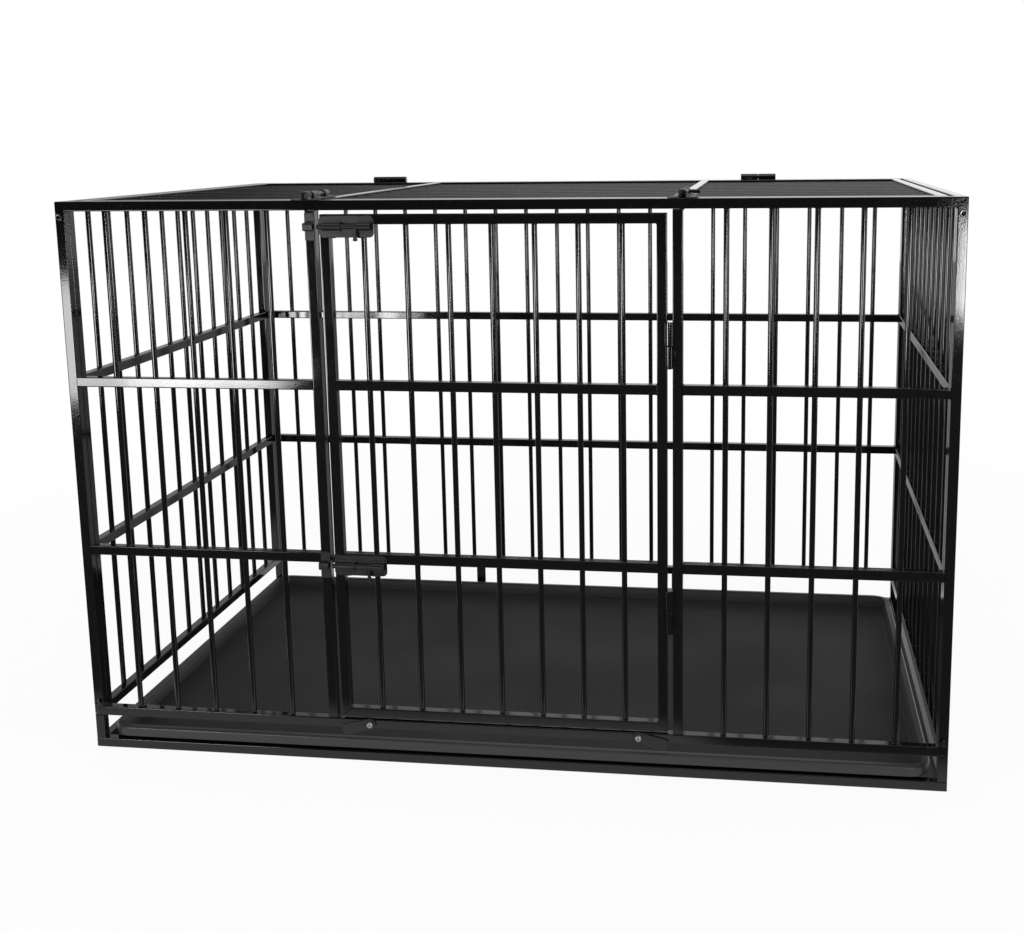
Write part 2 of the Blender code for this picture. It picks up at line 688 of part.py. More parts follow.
def make_corner_bolt(prefix, x, z, face_y, out, end_panel, side_panel):
    """A socket-head bolt through an end panel's post into the side panel's post behind it."""
    seat = Vector((x, face_y, z)) + out * SEAM
    tip = Vector((x, face_y, z)) - out * (TUBE + SEAM + CORNER_BOLT_GRIP)
    top = seat + out * CORNER_HEAD_HEIGHT
    head = chamfered_profile("head", CORNER_HEAD_HEIGHT, CORNER_HEAD_RADIUS, HEAD_CHAMFER)
    bolt = turned_shape(new_piece(prefix, head, "bright_steel", standing_on(seat, out), crate))
    shank = rods_mesh("shank", [(seat + out * SHANK_LAP, tip)], CORNER_BOLT_RADIUS)
    boolean(bolt, new_helper(f"{prefix}_shank", shank), "UNION")
    depth = out * SOCKET_DEPTH
    socket = rods_mesh("socket", [(top - depth, top + depth)], SOCKET_WIDTH / 2, SOCKET_SIDES)
    boolean(bolt, new_helper(f"{prefix}_socket", socket), "DIFFERENCE")
    bore = CORNER_BOLT_RADIUS + SCREW_CLEARANCE
    well = new_helper(f"{prefix}_well", rods_mesh("well", [(seat + out * TUBE, tip - out * SEAM)], bore))
    boolean(end_panel, well, "DIFFERENCE")
    boolean(side_panel, well, "DIFFERENCE")
    return bolt


door_axis = axis_empty("door_axis", DOOR_AXIS, crate)
lid_axis = axis_empty("lid_axis", LID_AXIS, crate)

base_frame = make_base_frame()
front_top_rail, front_bottom_rail = make_front_rails()
front_sections = {
    side: make_front_section(f"front_section_{side}", sign) for side, sign in (("left", -1), ("right", 1))
}
rear_place = Matrix.Translation((0, REAR_Y - TUBE / 2, 0)) @ UPRIGHT
rear_panel = make_full_panel("rear_panel", HALF_WIDTH, rear_place)
left_place = Matrix.Translation((-POST_X, MIDDLE_Y, 0)) @ SIDEWAYS
left_panel = make_full_panel("left_panel", SIDE_LENGTH / 2, left_place)
right_place = Matrix.Translation((POST_X, MIDDLE_Y, 0)) @ SIDEWAYS
right_panel = make_full_panel("right_panel", SIDE_LENGTH / 2, right_place)
door = make_door()
lid = make_lid()
tray = make_tray()

post_offset = HINGE_GAP - STILE_OFFSET
door_hinge_parts = (DOOR_PIN_BARREL_RADIUS, STILE_OFFSET, post_offset, DOOR_AXIS_REACH, door_axis)
for level, height in (("upper", UPPER_HINGE_HEIGHT), ("lower", LOWER_HINGE_HEIGHT)):
    make_hinge(f"door_hinge_{level}", DOOR_AXIS + UP * height, UP, -BACK, -RIGHT, door_hinge_parts)

lid_hinge_parts = (BARREL_RADIUS, LID_GAP / 2, LID_GAP / 2, LID_AXIS_REACH, lid_axis)
for side, sign in (("left", -1), ("right", 1)):
    middle = LID_AXIS + RIGHT * (sign * LID_HINGE_SPACING / 2)
    make_hinge(f"lid_hinge_{side}", middle, -RIGHT, UP, -BACK, lid_hinge_parts)

# The rod runs below the top edge of the rail that its plate is fixed to
rod_drop = PLATE_EDGE + PLATE_WIDTH / 2
for level, rail_top in (("upper", DOOR_TOP), ("lower", LOWER_RAIL_HEIGHT + TUBE / 2)):
    place = Matrix.Translation((DOOR_LEFT, FRONT_Y, rail_top - rod_drop))
    make_slide_bolt(f"door_bolt_{level}", place, LATCH_GAP + TUBE / 2, -1, door_axis)

# On the lid the same bolts lie flat: their left end faces the front and their handles point outwards
LYING = Matrix(((0, 0, -1, 0), (1, 0, 0, 0), (0, -1, 0, 0), (0, 0, 0, 1)))
lid_front = MIDDLE_Y - LID_HALF_Y
for side, sign in (("left", -1), ("right", 1)):
    rod_x = sign * (DOOR_POST_X + LID_BOLT_OFFSET)
    place = Matrix.Translation((rod_x, lid_front, CRATE_HEIGHT)) @ LYING
    make_slide_bolt(f"lid_bolt_{side}", place, LID_GAP + TUBE / 2, -sign, lid_axis)

for side, sign in (("left", -1), ("right", 1)):
    x = sign * LATCH_SPACING / 2
    make_tray_latch(f"tray_latch_front_{side}", x, FRONT_Y, -BACK, -sign * LATCH_TURN, front_bottom_rail)
    make_tray_latch(f"tray_latch_rear_{side}", x, REAR_Y, BACK, 0, rear_panel)

heights = (("low", PANEL_BOTTOM + CORNER_BOLT_DROP), ("high", CRATE_HEIGHT - CORNER_BOLT_DROP))
for side, x, side_panel in (("left", -POST_X, left_panel), ("right", POST_X, right_panel)):
    front_section = front_sections[side]
    for level, z in heights:
        make_corner_bolt(f"corner_bolt_front_{side}_{level}", x, z, FRONT_Y, -BACK, front_section, side_panel)
        make_corner_bolt(f"corner_bolt_rear_{side}_{level}", x, z, REAR_Y, BACK, rear_panel, side_panel)
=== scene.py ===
import json
import math

import bmesh
import bpy
from mathutils import Matrix, Vector


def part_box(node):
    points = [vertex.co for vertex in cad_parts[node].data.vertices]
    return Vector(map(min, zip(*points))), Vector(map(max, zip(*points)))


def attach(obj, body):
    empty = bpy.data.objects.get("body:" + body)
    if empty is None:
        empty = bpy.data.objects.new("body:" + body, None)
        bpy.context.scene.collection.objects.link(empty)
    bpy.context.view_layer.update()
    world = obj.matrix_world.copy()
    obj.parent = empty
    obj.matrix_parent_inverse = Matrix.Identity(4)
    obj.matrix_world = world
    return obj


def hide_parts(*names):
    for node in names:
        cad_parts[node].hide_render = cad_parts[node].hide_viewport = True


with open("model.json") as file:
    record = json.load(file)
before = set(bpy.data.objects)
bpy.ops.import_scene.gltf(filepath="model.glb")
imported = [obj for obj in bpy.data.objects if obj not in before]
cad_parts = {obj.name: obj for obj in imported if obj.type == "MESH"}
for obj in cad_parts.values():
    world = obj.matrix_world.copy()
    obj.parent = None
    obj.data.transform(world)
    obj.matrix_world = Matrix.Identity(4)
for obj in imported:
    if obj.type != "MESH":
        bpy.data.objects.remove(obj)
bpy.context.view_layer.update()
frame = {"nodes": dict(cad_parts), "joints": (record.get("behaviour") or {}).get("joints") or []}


def linked(name, data):
    obj = bpy.data.objects.new(name, data)
    bpy.context.scene.collection.objects.link(obj)
    return obj


photoCamera = {  # fitted to the corners, rails and bars of the panels
    "position": (0.34465, -1.95355, 0.82502),
    "right": (0.9905895, 0.1363506, -0.01187218),
    "up": (-0.01201148, 0.17301507, 0.98484593),
    "back": (0.1363384, -0.97543544, 0.17302468),
    "lens": 46.435,
    "sensor": 36.0,
    "shift": (-0.07376, -0.09376),
    "clipStart": 0.05,
}


def makeCamera(values):
    camera = bpy.data.cameras.new("photoCamera")
    camera.lens = values["lens"]
    camera.sensor_width = values["sensor"]
    camera.sensor_fit = "HORIZONTAL"
    camera.shift_x, camera.shift_y = values["shift"]
    camera.clip_start = values["clipStart"]
    turn = Matrix((values["right"], values["up"], values["back"])).transposed().to_4x4()
    holder = linked("photoCamera", camera)
    holder.matrix_world = Matrix.Translation(values["position"]) @ turn
    bpy.context.scene.camera = holder


makeCamera(photoCamera)
print("camera placed")


def wire(tree, source, target):
    tree.links.new(source, target)


def put(tree, socket, value):
    if isinstance(value, bpy.types.NodeSocket):
        wire(tree, value, socket)
    else:
        socket.default_value = value


# A name that matches one of the node's properties sets it. Any other name sets the input of that name.
def addNode(tree, kind, **values):
    node = tree.nodes.new(kind)
    for name, value in values.items():
        if hasattr(node, name):
            setattr(node, name, value)
        else:
            put(tree, node.inputs[name.replace("_", " ")], value)
    return node


def mathNode(tree, operation, *values):
    node = addNode(tree, "ShaderNodeMath", operation=operation)
    for socket, value in zip(node.inputs, values):
        put(tree, socket, value)
    return node.outputs[0]


def ranged(tree, value, fromLow, fromHigh, toLow=0.0, toHigh=1.0, curve="LINEAR"):
    node = addNode(tree, "ShaderNodeMapRange", interpolation_type=curve, Value=value)
    for name, limit in (("From Min", fromLow), ("From Max", fromHigh), ("To Min", toLow), ("To Max", toHigh)):
        put(tree, node.inputs[name], limit)
    return node.outputs["Result"]


def mixTones(tree, share, first, second):
    node = addNode(tree, "ShaderNodeMix", data_type="RGBA")
    for index, value in ((0, share), (6, first), (7, second)):  # the sockets that mix colours
        put(tree, node.inputs[index], value)
    return node.outputs[2]


def axesOf(tree, vector):
    return addNode(tree, "ShaderNodeSeparateXYZ", Vector=vector).outputs


def objectPlace(tree):
    return addNode(tree, "ShaderNodeTexCoord").outputs["Object"]


def oneMinus(tree, value):
    return mathNode(tree, "SUBTRACT", 1.0, value)


def mixShaders(tree, share, first, second):
    node = addNode(tree, "ShaderNodeMixShader", Fac=share)
    wire(tree, first.outputs[0], node.inputs[1])
    wire(tree, second.outputs[0], node.inputs[2])
    return node


def addSockets(tree, side, sockets):
    for name, kind in sockets.items():
        tree.interface.new_socket(name, in_out=side, socket_type=f"NodeSocket{kind}")
    node = tree.nodes.new("NodeGroupInput" if side == "INPUT" else "NodeGroupOutput")
    return node.outputs if side == "INPUT" else node.inputs


skinValues = {
    "peelDetail": 2.0,
    "waveDetail": 1.0,
    "dustDetail": 5.0,
    "dustRoughness": 0.7,
    "speckRange": (0.56, 0.74),  # of the dust noise
    "waveRange": (0.3, 0.7),  # of the wave noise, from the low gloss to the high one
    "speckRoughness": 0.25,
}


# Orange peel, slow waves and specks of dust, shared by every finish.
def makeSkinGroup(values):
    group = bpy.data.node_groups.new("skinDetail", "ShaderNodeTree")
    plain = ("Peel Scale", "Peel Height", "Wave Scale", "Wave Height", "Dust Scale", "Dust Amount")
    inputs = {"Place": "Vector", "Base Tone": "Color", "Dust Tone": "Color"}
    inputs.update({name: "Float" for name in (*plain, "Gloss Low", "Gloss High")})
    given = addSockets(group, "INPUT", inputs)
    out = addSockets(group, "OUTPUT", {"Tone": "Color", "Roughness": "Float", "Height": "Float"})
    place = given["Place"]
    peel = addNode(group, "ShaderNodeTexNoise", Vector=place, Scale=given["Peel Scale"])
    wave = addNode(group, "ShaderNodeTexNoise", Vector=place, Scale=given["Wave Scale"])
    dust = addNode(group, "ShaderNodeTexNoise", Vector=place, Scale=given["Dust Scale"])
    put(group, peel.inputs["Detail"], values["peelDetail"])
    put(group, wave.inputs["Detail"], values["waveDetail"])
    put(group, dust.inputs["Detail"], values["dustDetail"])
    put(group, dust.inputs["Roughness"], values["dustRoughness"])
    peelHeight = mathNode(group, "MULTIPLY", peel.outputs["Fac"], given["Peel Height"])
    waveHeight = mathNode(group, "MULTIPLY", wave.outputs["Fac"], given["Wave Height"])
    wire(group, mathNode(group, "ADD", peelHeight, waveHeight), out["Height"])
    specks = ranged(group, dust.outputs["Fac"], *values["speckRange"])
    speckShare = mathNode(group, "MULTIPLY", specks, given["Dust Amount"])
    wire(group, mixTones(group, speckShare, given["Base Tone"], given["Dust Tone"]), out["Tone"])
    gloss = ranged(group, wave.outputs["Fac"], *values["waveRange"], given["Gloss Low"], given["Gloss High"])
    rough = mathNode(group, "MULTIPLY_ADD", speckShare, values["speckRoughness"], gloss)
    wire(group, rough, out["Roughness"])
    return group


skinGroup = makeSkinGroup(skinValues)

finishValues = {
    "glossBlack": {
        "group": {
            "Base Tone": (0.0030, 0.0030, 0.0033, 1), "Dust Tone": (0.02, 0.02, 0.02, 1),
            "Peel Scale": 640.0, "Peel Height": 0.40, "Wave Scale": 24.0, "Wave Height": 1.6,
            "Dust Scale": 260.0, "Dust Amount": 0.25, "Gloss Low": 0.035, "Gloss High": 0.075,
        },
        "shader": {"Specular IOR Level": 0.5},
        "bump": 0.00006,
    },
    "satinBlack": {
        "group": {
            "Base Tone": (0.006, 0.006, 0.0063, 1), "Dust Tone": (0.05, 0.05, 0.05, 1),
            "Peel Scale": 900.0, "Peel Height": 0.5, "Wave Scale": 60.0, "Wave Height": 1.0,
            "Dust Scale": 420.0, "Dust Amount": 0.4, "Gloss Low": 0.30, "Gloss High": 0.42,
        },
        "shader": {"Specular IOR Level": 0.5},
        "bump": 0.00006,
    },
    "zincSteel": {
        "group": {
            "Base Tone": (0.34, 0.34, 0.33, 1), "Dust Tone": (0.12, 0.12, 0.12, 1),
            "Peel Scale": 1400.0, "Peel Height": 0.4, "Wave Scale": 200.0, "Wave Height": 0.6,
            "Dust Scale": 700.0, "Dust Amount": 0.6, "Gloss Low": 0.26, "Gloss High": 0.38,
        },
        "shader": {"Metallic": 1.0},
        "bump": 0.00004,
    },
    "oiledSteel": {
        "group": {
            "Base Tone": (0.075, 0.075, 0.073, 1), "Dust Tone": (0.04, 0.04, 0.04, 1),
            "Peel Scale": 1400.0, "Peel Height": 0.4, "Wave Scale": 200.0, "Wave Height": 0.6,
            "Dust Scale": 700.0, "Dust Amount": 0.5, "Gloss Low": 0.12, "Gloss High": 0.20,
        },
        "shader": {"Metallic": 1.0},
        "bump": 0.00004,
    },
    "trayPlastic": {
        "group": {
            "Base Tone": (0.009, 0.009, 0.0093, 1), "Dust Tone": (0.03, 0.03, 0.03, 1),
            "Peel Scale": 1100.0, "Peel Height": 1.0, "Wave Scale": 5.0, "Wave Height": 6.0,
            "Dust Scale": 120.0, "Dust Amount": 0.3, "Gloss Low": 0.58, "Gloss High": 0.70,
        },
        "shader": {"Specular IOR Level": 0.35},
        "bump": 0.00005,
        # the rim's tone is painted sheen: paler than the floor, for the light on the rim and skirt
        "rim": {"inset": (0.007, 0.014), "roughness": 0.30, "tone": (0.034, 0.034, 0.035, 1)},
    },
}


# The pan's floor has a matt grain. Its rim and skirt are smooth, and their tone is painted paler as painted
# sheen for the light on them.
def smoothRimPaintedPaler(tree, floorTone, floorRoughness, values):
    low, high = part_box("tray")
    place = axesOf(tree, objectPlace(tree))
    insets = []
    for axis in (0, 1):
        middle, reach = (low[axis] + high[axis]) / 2, (high[axis] - low[axis]) / 2
        side = mathNode(tree, "ABSOLUTE", mathNode(tree, "SUBTRACT", place[axis], middle))
        insets.append(mathNode(tree, "SUBTRACT", reach, side))
    onFloor = ranged(tree, mathNode(tree, "MINIMUM", *insets), *values["inset"])
    grain = mathNode(tree, "MULTIPLY", floorRoughness, onFloor)
    roughness = mathNode(tree, "MULTIPLY_ADD", oneMinus(tree, onFloor), values["roughness"], grain)
    # the rim and skirt take the painted paler tone, the floor keeps its own
    return mixTones(tree, onFloor, values["tone"], floorTone), roughness


def makeFinish(name, values):
    material = bpy.data.materials.new(name)
    material.use_nodes = True
    tree = material.node_tree
    shader = tree.nodes["Principled BSDF"]
    for socket, value in values["shader"].items():
        shader.inputs[socket].default_value = value
    skin = addNode(tree, "ShaderNodeGroup", node_tree=skinGroup)
    wire(tree, objectPlace(tree), skin.inputs["Place"])
    for socket, value in values["group"].items():
        skin.inputs[socket].default_value = value
    bump = addNode(tree, "ShaderNodeBump", Height=skin.outputs["Height"], Distance=values["bump"])
    tone, roughness = skin.outputs["Tone"], skin.outputs["Roughness"]
    if "rim" in values:
        tone, roughness = smoothRimPaintedPaler(tree, tone, roughness, values["rim"])
    wire(tree, tone, shader.inputs["Base Color"])
    wire(tree, roughness, shader.inputs["Roughness"])
    wire(tree, bump.outputs["Normal"], shader.inputs["Normal"])
    return material


finishes = {name: makeFinish(name, values) for name, values in finishValues.items()}
print("finishes made:", ", ".join(finishes))

plainPart, barLine, weldLine, collarPoint = 0.0, 1.0, 2.0, 3.0  # what a point of a welded piece belongs to
kindMargin = 0.4

weldedValues = {
    "Bar Radius": 0.0036,
    "Bar Sides": 24,
    "Bar Sink": 0.0010,
    "Collar Width": 0.0006,
    "Collar Height": 0.0008,
    "Collar Gap": 0.00002,
    "Bead Radius": 0.0013,
    "Bead Sides": 8,
    "Bead Step": 0.0007,
    "Bead Wander": 0.0007,
    "Taper Rate": 5.0,  # a bead grows from its least size at each end
    "Taper Least": 0.35,
    "Lump Scale": 700.0,
    "Lump Spread": 0.9,
    "Lump Least": 0.5,
    "Seed": 3.0,
}


def newTree(name, inputs):
    tree = bpy.data.node_groups.new(name, "GeometryNodeTree")
    given = addSockets(tree, "INPUT", {"Geometry": "Geometry", **inputs})
    out = addSockets(tree, "OUTPUT", {"Geometry": "Geometry"})
    return tree, given, out[0]


def carried(tree, name, kind):
    return addNode(tree, "GeometryNodeInputNamedAttribute", data_type=kind, Name=name).outputs["Attribute"]


# The part of a mesh whose points carry one kind.
def keptKind(tree, geometry, kind):
    same = mathNode(tree, "COMPARE", carried(tree, "kind", "FLOAT"), kind, kindMargin)
    kept = addNode(tree, "GeometryNodeSeparateGeometry", domain="POINT", Geometry=geometry, Selection=same)
    return kept.outputs["Selection"]


def turnToAim(tree):
    aim = carried(tree, "aim", "FLOAT_VECTOR")
    return addNode(tree, "FunctionNodeAlignRotationToVector", axis="Z", Vector=aim).outputs[0]


def scaled(tree, vector, scale):
    return addNode(tree, "ShaderNodeVectorMath", operation="SCALE", Vector=vector, Scale=scale).outputs[0]


def moved(tree, geometry, offset):
    return addNode(tree, "GeometryNodeSetPosition", Geometry=geometry, Offset=offset).outputs[0]


def joined(tree, parts):
    node = addNode(tree, "GeometryNodeJoinGeometry")
    for part in parts:
        wire(tree, part, node.inputs[0])
    return node.outputs[0]


# A round rod along each line of a curve, with closed ends.
def swept(tree, curve, sides, radius, **more):
    circle = addNode(tree, "GeometryNodeCurvePrimitiveCircle", Resolution=sides, Radius=radius).outputs[0]
    rods = addNode(tree, "GeometryNodeCurveToMesh", Curve=curve, Profile_Curve=circle, Fill_Caps=True, **more)
    return rods.outputs[0]


def coated(tree, geometry, given, out):
    real = addNode(tree, "GeometryNodeRealizeInstances", Geometry=geometry).outputs[0]
    finished = addNode(tree, "GeometryNodeSetMaterial", Geometry=real, Material=given["Finish"])
    wire(tree, finished.outputs[0], out)
    return tree


# Turns marked lines into round bars, weld beads and collars, beside the tubes that are there.
def makeWeldedTree(values):
    kinds = {name: "Int" if isinstance(value, int) else "Float" for name, value in values.items()}
    tree, given, out = newTree("weldedSteel", {**kinds, "Finish": "Material"})
    tubes = keptKind(tree, given["Geometry"], plainPart)

    barMesh = keptKind(tree, given["Geometry"], barLine)
    barCurve = addNode(tree, "GeometryNodeMeshToCurve", Mesh=barMesh).outputs[0]
    bars = swept(tree, barCurve, given["Bar Sides"], given["Bar Radius"])

    points = joined(tree, (barMesh, keptKind(tree, given["Geometry"], collarPoint)))
    seats = moved(tree, points, scaled(tree, carried(tree, "aim", "FLOAT_VECTOR"), given["Bar Sink"]))
    ring = addNode(tree, "GeometryNodeMeshCone", fill_type="NGON", Vertices=given["Bar Sides"])
    put(tree, ring.inputs["Radius Top"], mathNode(tree, "ADD", given["Bar Radius"], given["Collar Gap"]))
    put(tree, ring.inputs["Radius Bottom"], mathNode(tree, "ADD", given["Bar Radius"], given["Collar Width"]))
    put(tree, ring.inputs["Depth"], given["Collar Height"])
    collars = addNode(tree, "GeometryNodeInstanceOnPoints", Points=seats, Instance=ring.outputs["Mesh"])
    put(tree, collars.inputs["Rotation"], turnToAim(tree))

    weldMesh = keptKind(tree, given["Geometry"], weldLine)
    weldCurve = addNode(tree, "GeometryNodeMeshToCurve", Mesh=weldMesh).outputs[0]
    fine = addNode(tree, "GeometryNodeResampleCurve", mode="LENGTH", Curve=weldCurve)
    put(tree, fine.inputs["Length"], given["Bead Step"])
    along = addNode(tree, "GeometryNodeSplineParameter").outputs["Factor"]
    fromEnd = mathNode(tree, "MINIMUM", along, oneMinus(tree, along))
    tapered = mathNode(tree, "MULTIPLY_ADD", fromEnd, given["Taper Rate"], given["Taper Least"])
    tapered = mathNode(tree, "MINIMUM", tapered, 1.0)
    lump = addNode(tree, "ShaderNodeTexNoise", noise_dimensions="4D", Detail=1.0)
    put(tree, lump.inputs["Scale"], given["Lump Scale"])
    put(tree, lump.inputs["W"], given["Seed"])
    lumpy = mathNode(tree, "MULTIPLY_ADD", lump.outputs["Fac"], given["Lump Spread"], given["Lump Least"])
    beadSize = mathNode(tree, "MULTIPLY", mathNode(tree, "MULTIPLY", tapered, lumpy), given["Bead Radius"])
    centred = addNode(tree, "ShaderNodeVectorMath", operation="SUBTRACT", Vector=lump.outputs["Color"])
    centred.inputs[1].default_value = (0.5, 0.5, 0.5)  # the middle of the noise
    wandering = moved(tree, fine.outputs[0], scaled(tree, centred.outputs[0], given["Bead Wander"]))
    beads = swept(tree, wandering, given["Bead Sides"], 1.0, Scale=beadSize)
    return coated(tree, joined(tree, (tubes, bars, collars.outputs[0], beads)), given, out)


# Puts a copy of one fastener at each point, turned to the point's aim.
def makeFastenerTree():
    inputs = {"Fastener": "Object", "Scale": "Float", "Twist": "Float", "Finish": "Material"}
    tree, given, out = newTree("fastenerRow", inputs)
    source = addNode(tree, "GeometryNodeObjectInfo", Object=given["Fastener"]).outputs["Geometry"]
    number = addNode(tree, "GeometryNodeInputIndex").outputs[0]
    spin = addNode(tree, "ShaderNodeCombineXYZ", Z=mathNode(tree, "MULTIPLY", number, given["Twist"]))
    twisted = addNode(tree, "FunctionNodeRotateRotation", rotation_space="LOCAL")
    wire(tree, turnToAim(tree), twisted.inputs[0])
    wire(tree, spin.outputs[0], twisted.inputs[1])
    copies = addNode(tree, "GeometryNodeInstanceOnPoints", Points=given["Geometry"], Instance=source)
    wire(tree, twisted.outputs[0], copies.inputs["Rotation"])
    wire(tree, given["Scale"], copies.inputs["Scale"])
    return coated(tree, copies.outputs[0], given, out)


weldedTree = makeWeldedTree(weldedValues)
fastenerTree = makeFastenerTree()

shadingValues = {"sharpAngle": 38, "flatWeight": 95}


def keepEvaluated(obj):
    evaluated = obj.evaluated_get(bpy.context.evaluated_depsgraph_get())
    mesh = bpy.data.meshes.new_from_object(evaluated)
    obj.modifiers.clear()
    obj.data = mesh
    return mesh


# Runs a tree on an object and keeps the result as its plain mesh.
def bake(obj, tree, values):
    modifier = obj.modifiers.new(tree.name, "NODES")
    modifier.node_group = tree
    for item in tree.interface.items_tree:
        if item.item_type == "SOCKET" and item.in_out == "INPUT" and item.name in values:
            modifier[item.identifier] = values[item.name]
    mesh = keepEvaluated(obj)
    for name in ("kind", "aim"):
        if name in mesh.attributes:
            mesh.attributes.remove(mesh.attributes[name])
    mesh.shade_smooth()
    mesh.set_sharp_from_angle(angle=math.radians(shadingValues["sharpAngle"]))
    # Flat faces keep their own normals, so only the rounded edges blend.
    weigh = obj.modifiers.new("weigh", "WEIGHTED_NORMAL")
    weigh.keep_sharp = True
    weigh.weight = shadingValues["flatWeight"]
    keepEvaluated(obj)
    bpy.data.meshes.remove(mesh)


print("geometry trees built")


# A mesh in the making, with the marks that the welded tree reads.
class SteelShape:
    def __init__(self, place=Matrix.Identity(4)):
        self.mesh = bmesh.new()
        self.kind = self.mesh.verts.layers.float.new("kind")
        self.aim = self.mesh.verts.layers.float_vector.new("aim")
        self.place = place

    def point(self, where, kind=plainPart, aim=(0, 0, 0)):
        vert = self.mesh.verts.new(self.place @ Vector(where))
        vert[self.kind] = kind
        vert[self.aim] = self.place.to_3x3() @ Vector(aim)
        return vert

    # Skins rings of points. A ring of one point is a pole.
    def skin(self, rings, capped=True):
        for lower, upper in zip(rings, rings[1:]):
            count = max(len(lower), len(upper))
            for i in range(count):
                j = (i + 1) % count
                if len(lower) == 1:
                    self.mesh.faces.new((lower[0], upper[j], upper[i]))
                elif len(upper) == 1:
                    self.mesh.faces.new((lower[i], lower[j], upper[0]))
                else:
                    self.mesh.faces.new((lower[i], lower[j], upper[j], upper[i]))
        if capped and len(rings[0]) > 1:
            self.mesh.faces.new(rings[0][::-1])
        if capped and len(rings[-1]) > 1:
            self.mesh.faces.new(rings[-1])

    def bar(self, start, end):
        start, end = Vector(start), Vector(end)
        along = (end - start).normalized()
        self.mesh.edges.new((self.point(start, barLine, along), self.point(end, barLine, -along)))

    def collar(self, where, aim):
        self.point(where, collarPoint, aim)

    def weld(self, start, end):
        self.mesh.edges.new((self.point(start, weldLine), self.point(end, weldLine)))

    def asObject(self, name):
        mesh = bpy.data.meshes.new(name)
        self.mesh.to_mesh(mesh)
        self.mesh.free()
        return linked(name, mesh)

    # Makes the object, runs the welded tree and gives it its finish.
    def finish(self, name, finish, values=None):
        bmesh.ops.recalc_face_normals(self.mesh, faces=self.mesh.faces)
        obj = self.asObject(name)
        bake(obj, weldedTree, {**weldedValues, **(values or {}), "Finish": finishes[finish]})
        if not obj.data.materials:
            obj.data.materials.append(finishes[finish])
        return obj


# Puts a piece on the body it rides on and hides the nodes that it stands for.
def handIn(piece, body, nodes):
    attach(piece, body)
    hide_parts(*nodes)


tubeValues = {"width": 0.0127, "corner": 0.0010, "cornerSteps": 4, "support": 0.0004, "chamfer": 0.0004}


# A rounded square, with a point just inside each flat so that the flats shade flat.
def squareSection(width, corner, steps, support):
    reach = width / 2
    centre = reach - corner
    quarter = [(reach, centre - support)]
    for step in range(steps + 1):
        angle = math.pi / 2 * step / steps
        quarter.append((centre + corner * math.cos(angle), centre + corner * math.sin(angle)))
    quarter.append((centre - support, reach))
    points = []
    for _ in range(4):
        points += quarter
        quarter = [(-v, u) for u, v in quarter]
    return points


# A square tube between two points of its centre line. Each cut is the normal of the end's plane.
def addTube(shape, start, end, side=(0, 0, 1), startCut=None, endCut=None, values=tubeValues):
    start, end, side = Vector(start), Vector(end), Vector(side).normalized()
    along = (end - start).normalized()
    across = side.cross(along)
    chamfer = values["chamfer"]
    section = (values["corner"], values["cornerSteps"], values["support"])
    full = squareSection(values["width"], *section)
    small = squareSection(values["width"] - 2 * chamfer, *section)

    def ring(origin, cut, points, inward):
        cut = Vector(cut) if cut is not None else along
        placed = []
        for u, v in points:
            offset = across * u + side * v
            reach = -offset.dot(cut) / along.dot(cut) + inward
            placed.append(shape.point(origin + offset + along * reach))
        return placed

    rings = [ring(start, startCut, small, 0), ring(start, startCut, full, chamfer)]
    rings += [ring(end, endCut, full, -chamfer), ring(end, endCut, small, 0)]
    shape.skin(rings)


# Turns (radius, height) pairs about Z. A third value gives a ring that many flats, at that radius.
def addTurned(shape, profile, place=Matrix.Identity(4), sides=32):
    rings = []
    for radius, height, *flats in profile:
        if radius <= 0:
            rings.append([shape.point(place @ Vector((0, 0, height)))])
            continue
        ring = []
        for i in range(sides):
            angle = 2 * math.pi * i / sides
            reach = radius
            if flats:
                wedge = 2 * math.pi / flats[0]
                reach = radius / math.cos((angle % wedge) - wedge / 2)
            spot = Vector((reach * math.cos(angle), reach * math.sin(angle), height))
            ring.append(shape.point(place @ spot))
        rings.append(ring)
    shape.skin(rings)


# The angles are in degrees.
def arcPoints(centre, radius, first, last, steps):
    points = []
    for step in range(steps + 1):
        angle = math.radians(first + (last - first) * step / steps)
        points.append((centre[0] + radius * math.cos(angle), centre[1] + radius * math.sin(angle)))
    return points


# The side of a rod with rounded ends, from its top pole to its foot.
def rodProfile(radius, length, top, foot, steps=4):
    points = [(0, length), *arcPoints((radius - top, length - top), top, 90, 0, steps)]
    points += [*arcPoints((radius - foot, foot), foot, 0, -90, steps), (0, 0)]
    return points


def roundedOutline(corners, radii, steps=6):
    points = []
    for i, (corner, radius) in enumerate(zip(corners, radii)):
        here, before, after = Vector(corner), Vector(corners[i - 1]), Vector(corners[(i + 1) % len(corners)])
        if not radius:
            points.append(here)
            continue
        back, onward = (before - here).normalized(), (after - here).normalized()
        opening = back.angle(onward)
        centre = here + (back + onward).normalized() * radius / math.sin(opening / 2)
        reach = radius / math.tan(opening / 2)
        first, last = here + back * reach - centre, here + onward * reach - centre
        begin = math.atan2(first.y, first.x)
        sweep = (math.atan2(last.y, last.x) - begin + math.pi) % (2 * math.pi) - math.pi
        for step in range(steps + 1):
            angle = begin + sweep * step / steps
            points.append(centre + Vector((math.cos(angle), math.sin(angle))) * radius)
    return points


# An anticlockwise outline moved inwards. A sharp corner moves no further than the stretch allows.
def shrunk(outline, distance, leastStretch=0.3):
    points = []
    for i, here in enumerate(outline):
        before, after = outline[i - 1], outline[(i + 1) % len(outline)]
        a, b = (here - before).normalized(), (after - here).normalized()
        normalA, normalB = Vector((-a.y, a.x)), Vector((-b.y, b.x))
        middle = (normalA + normalB).normalized()
        points.append(here + middle * distance / max(leastStretch, middle.dot(normalA)))
    return points


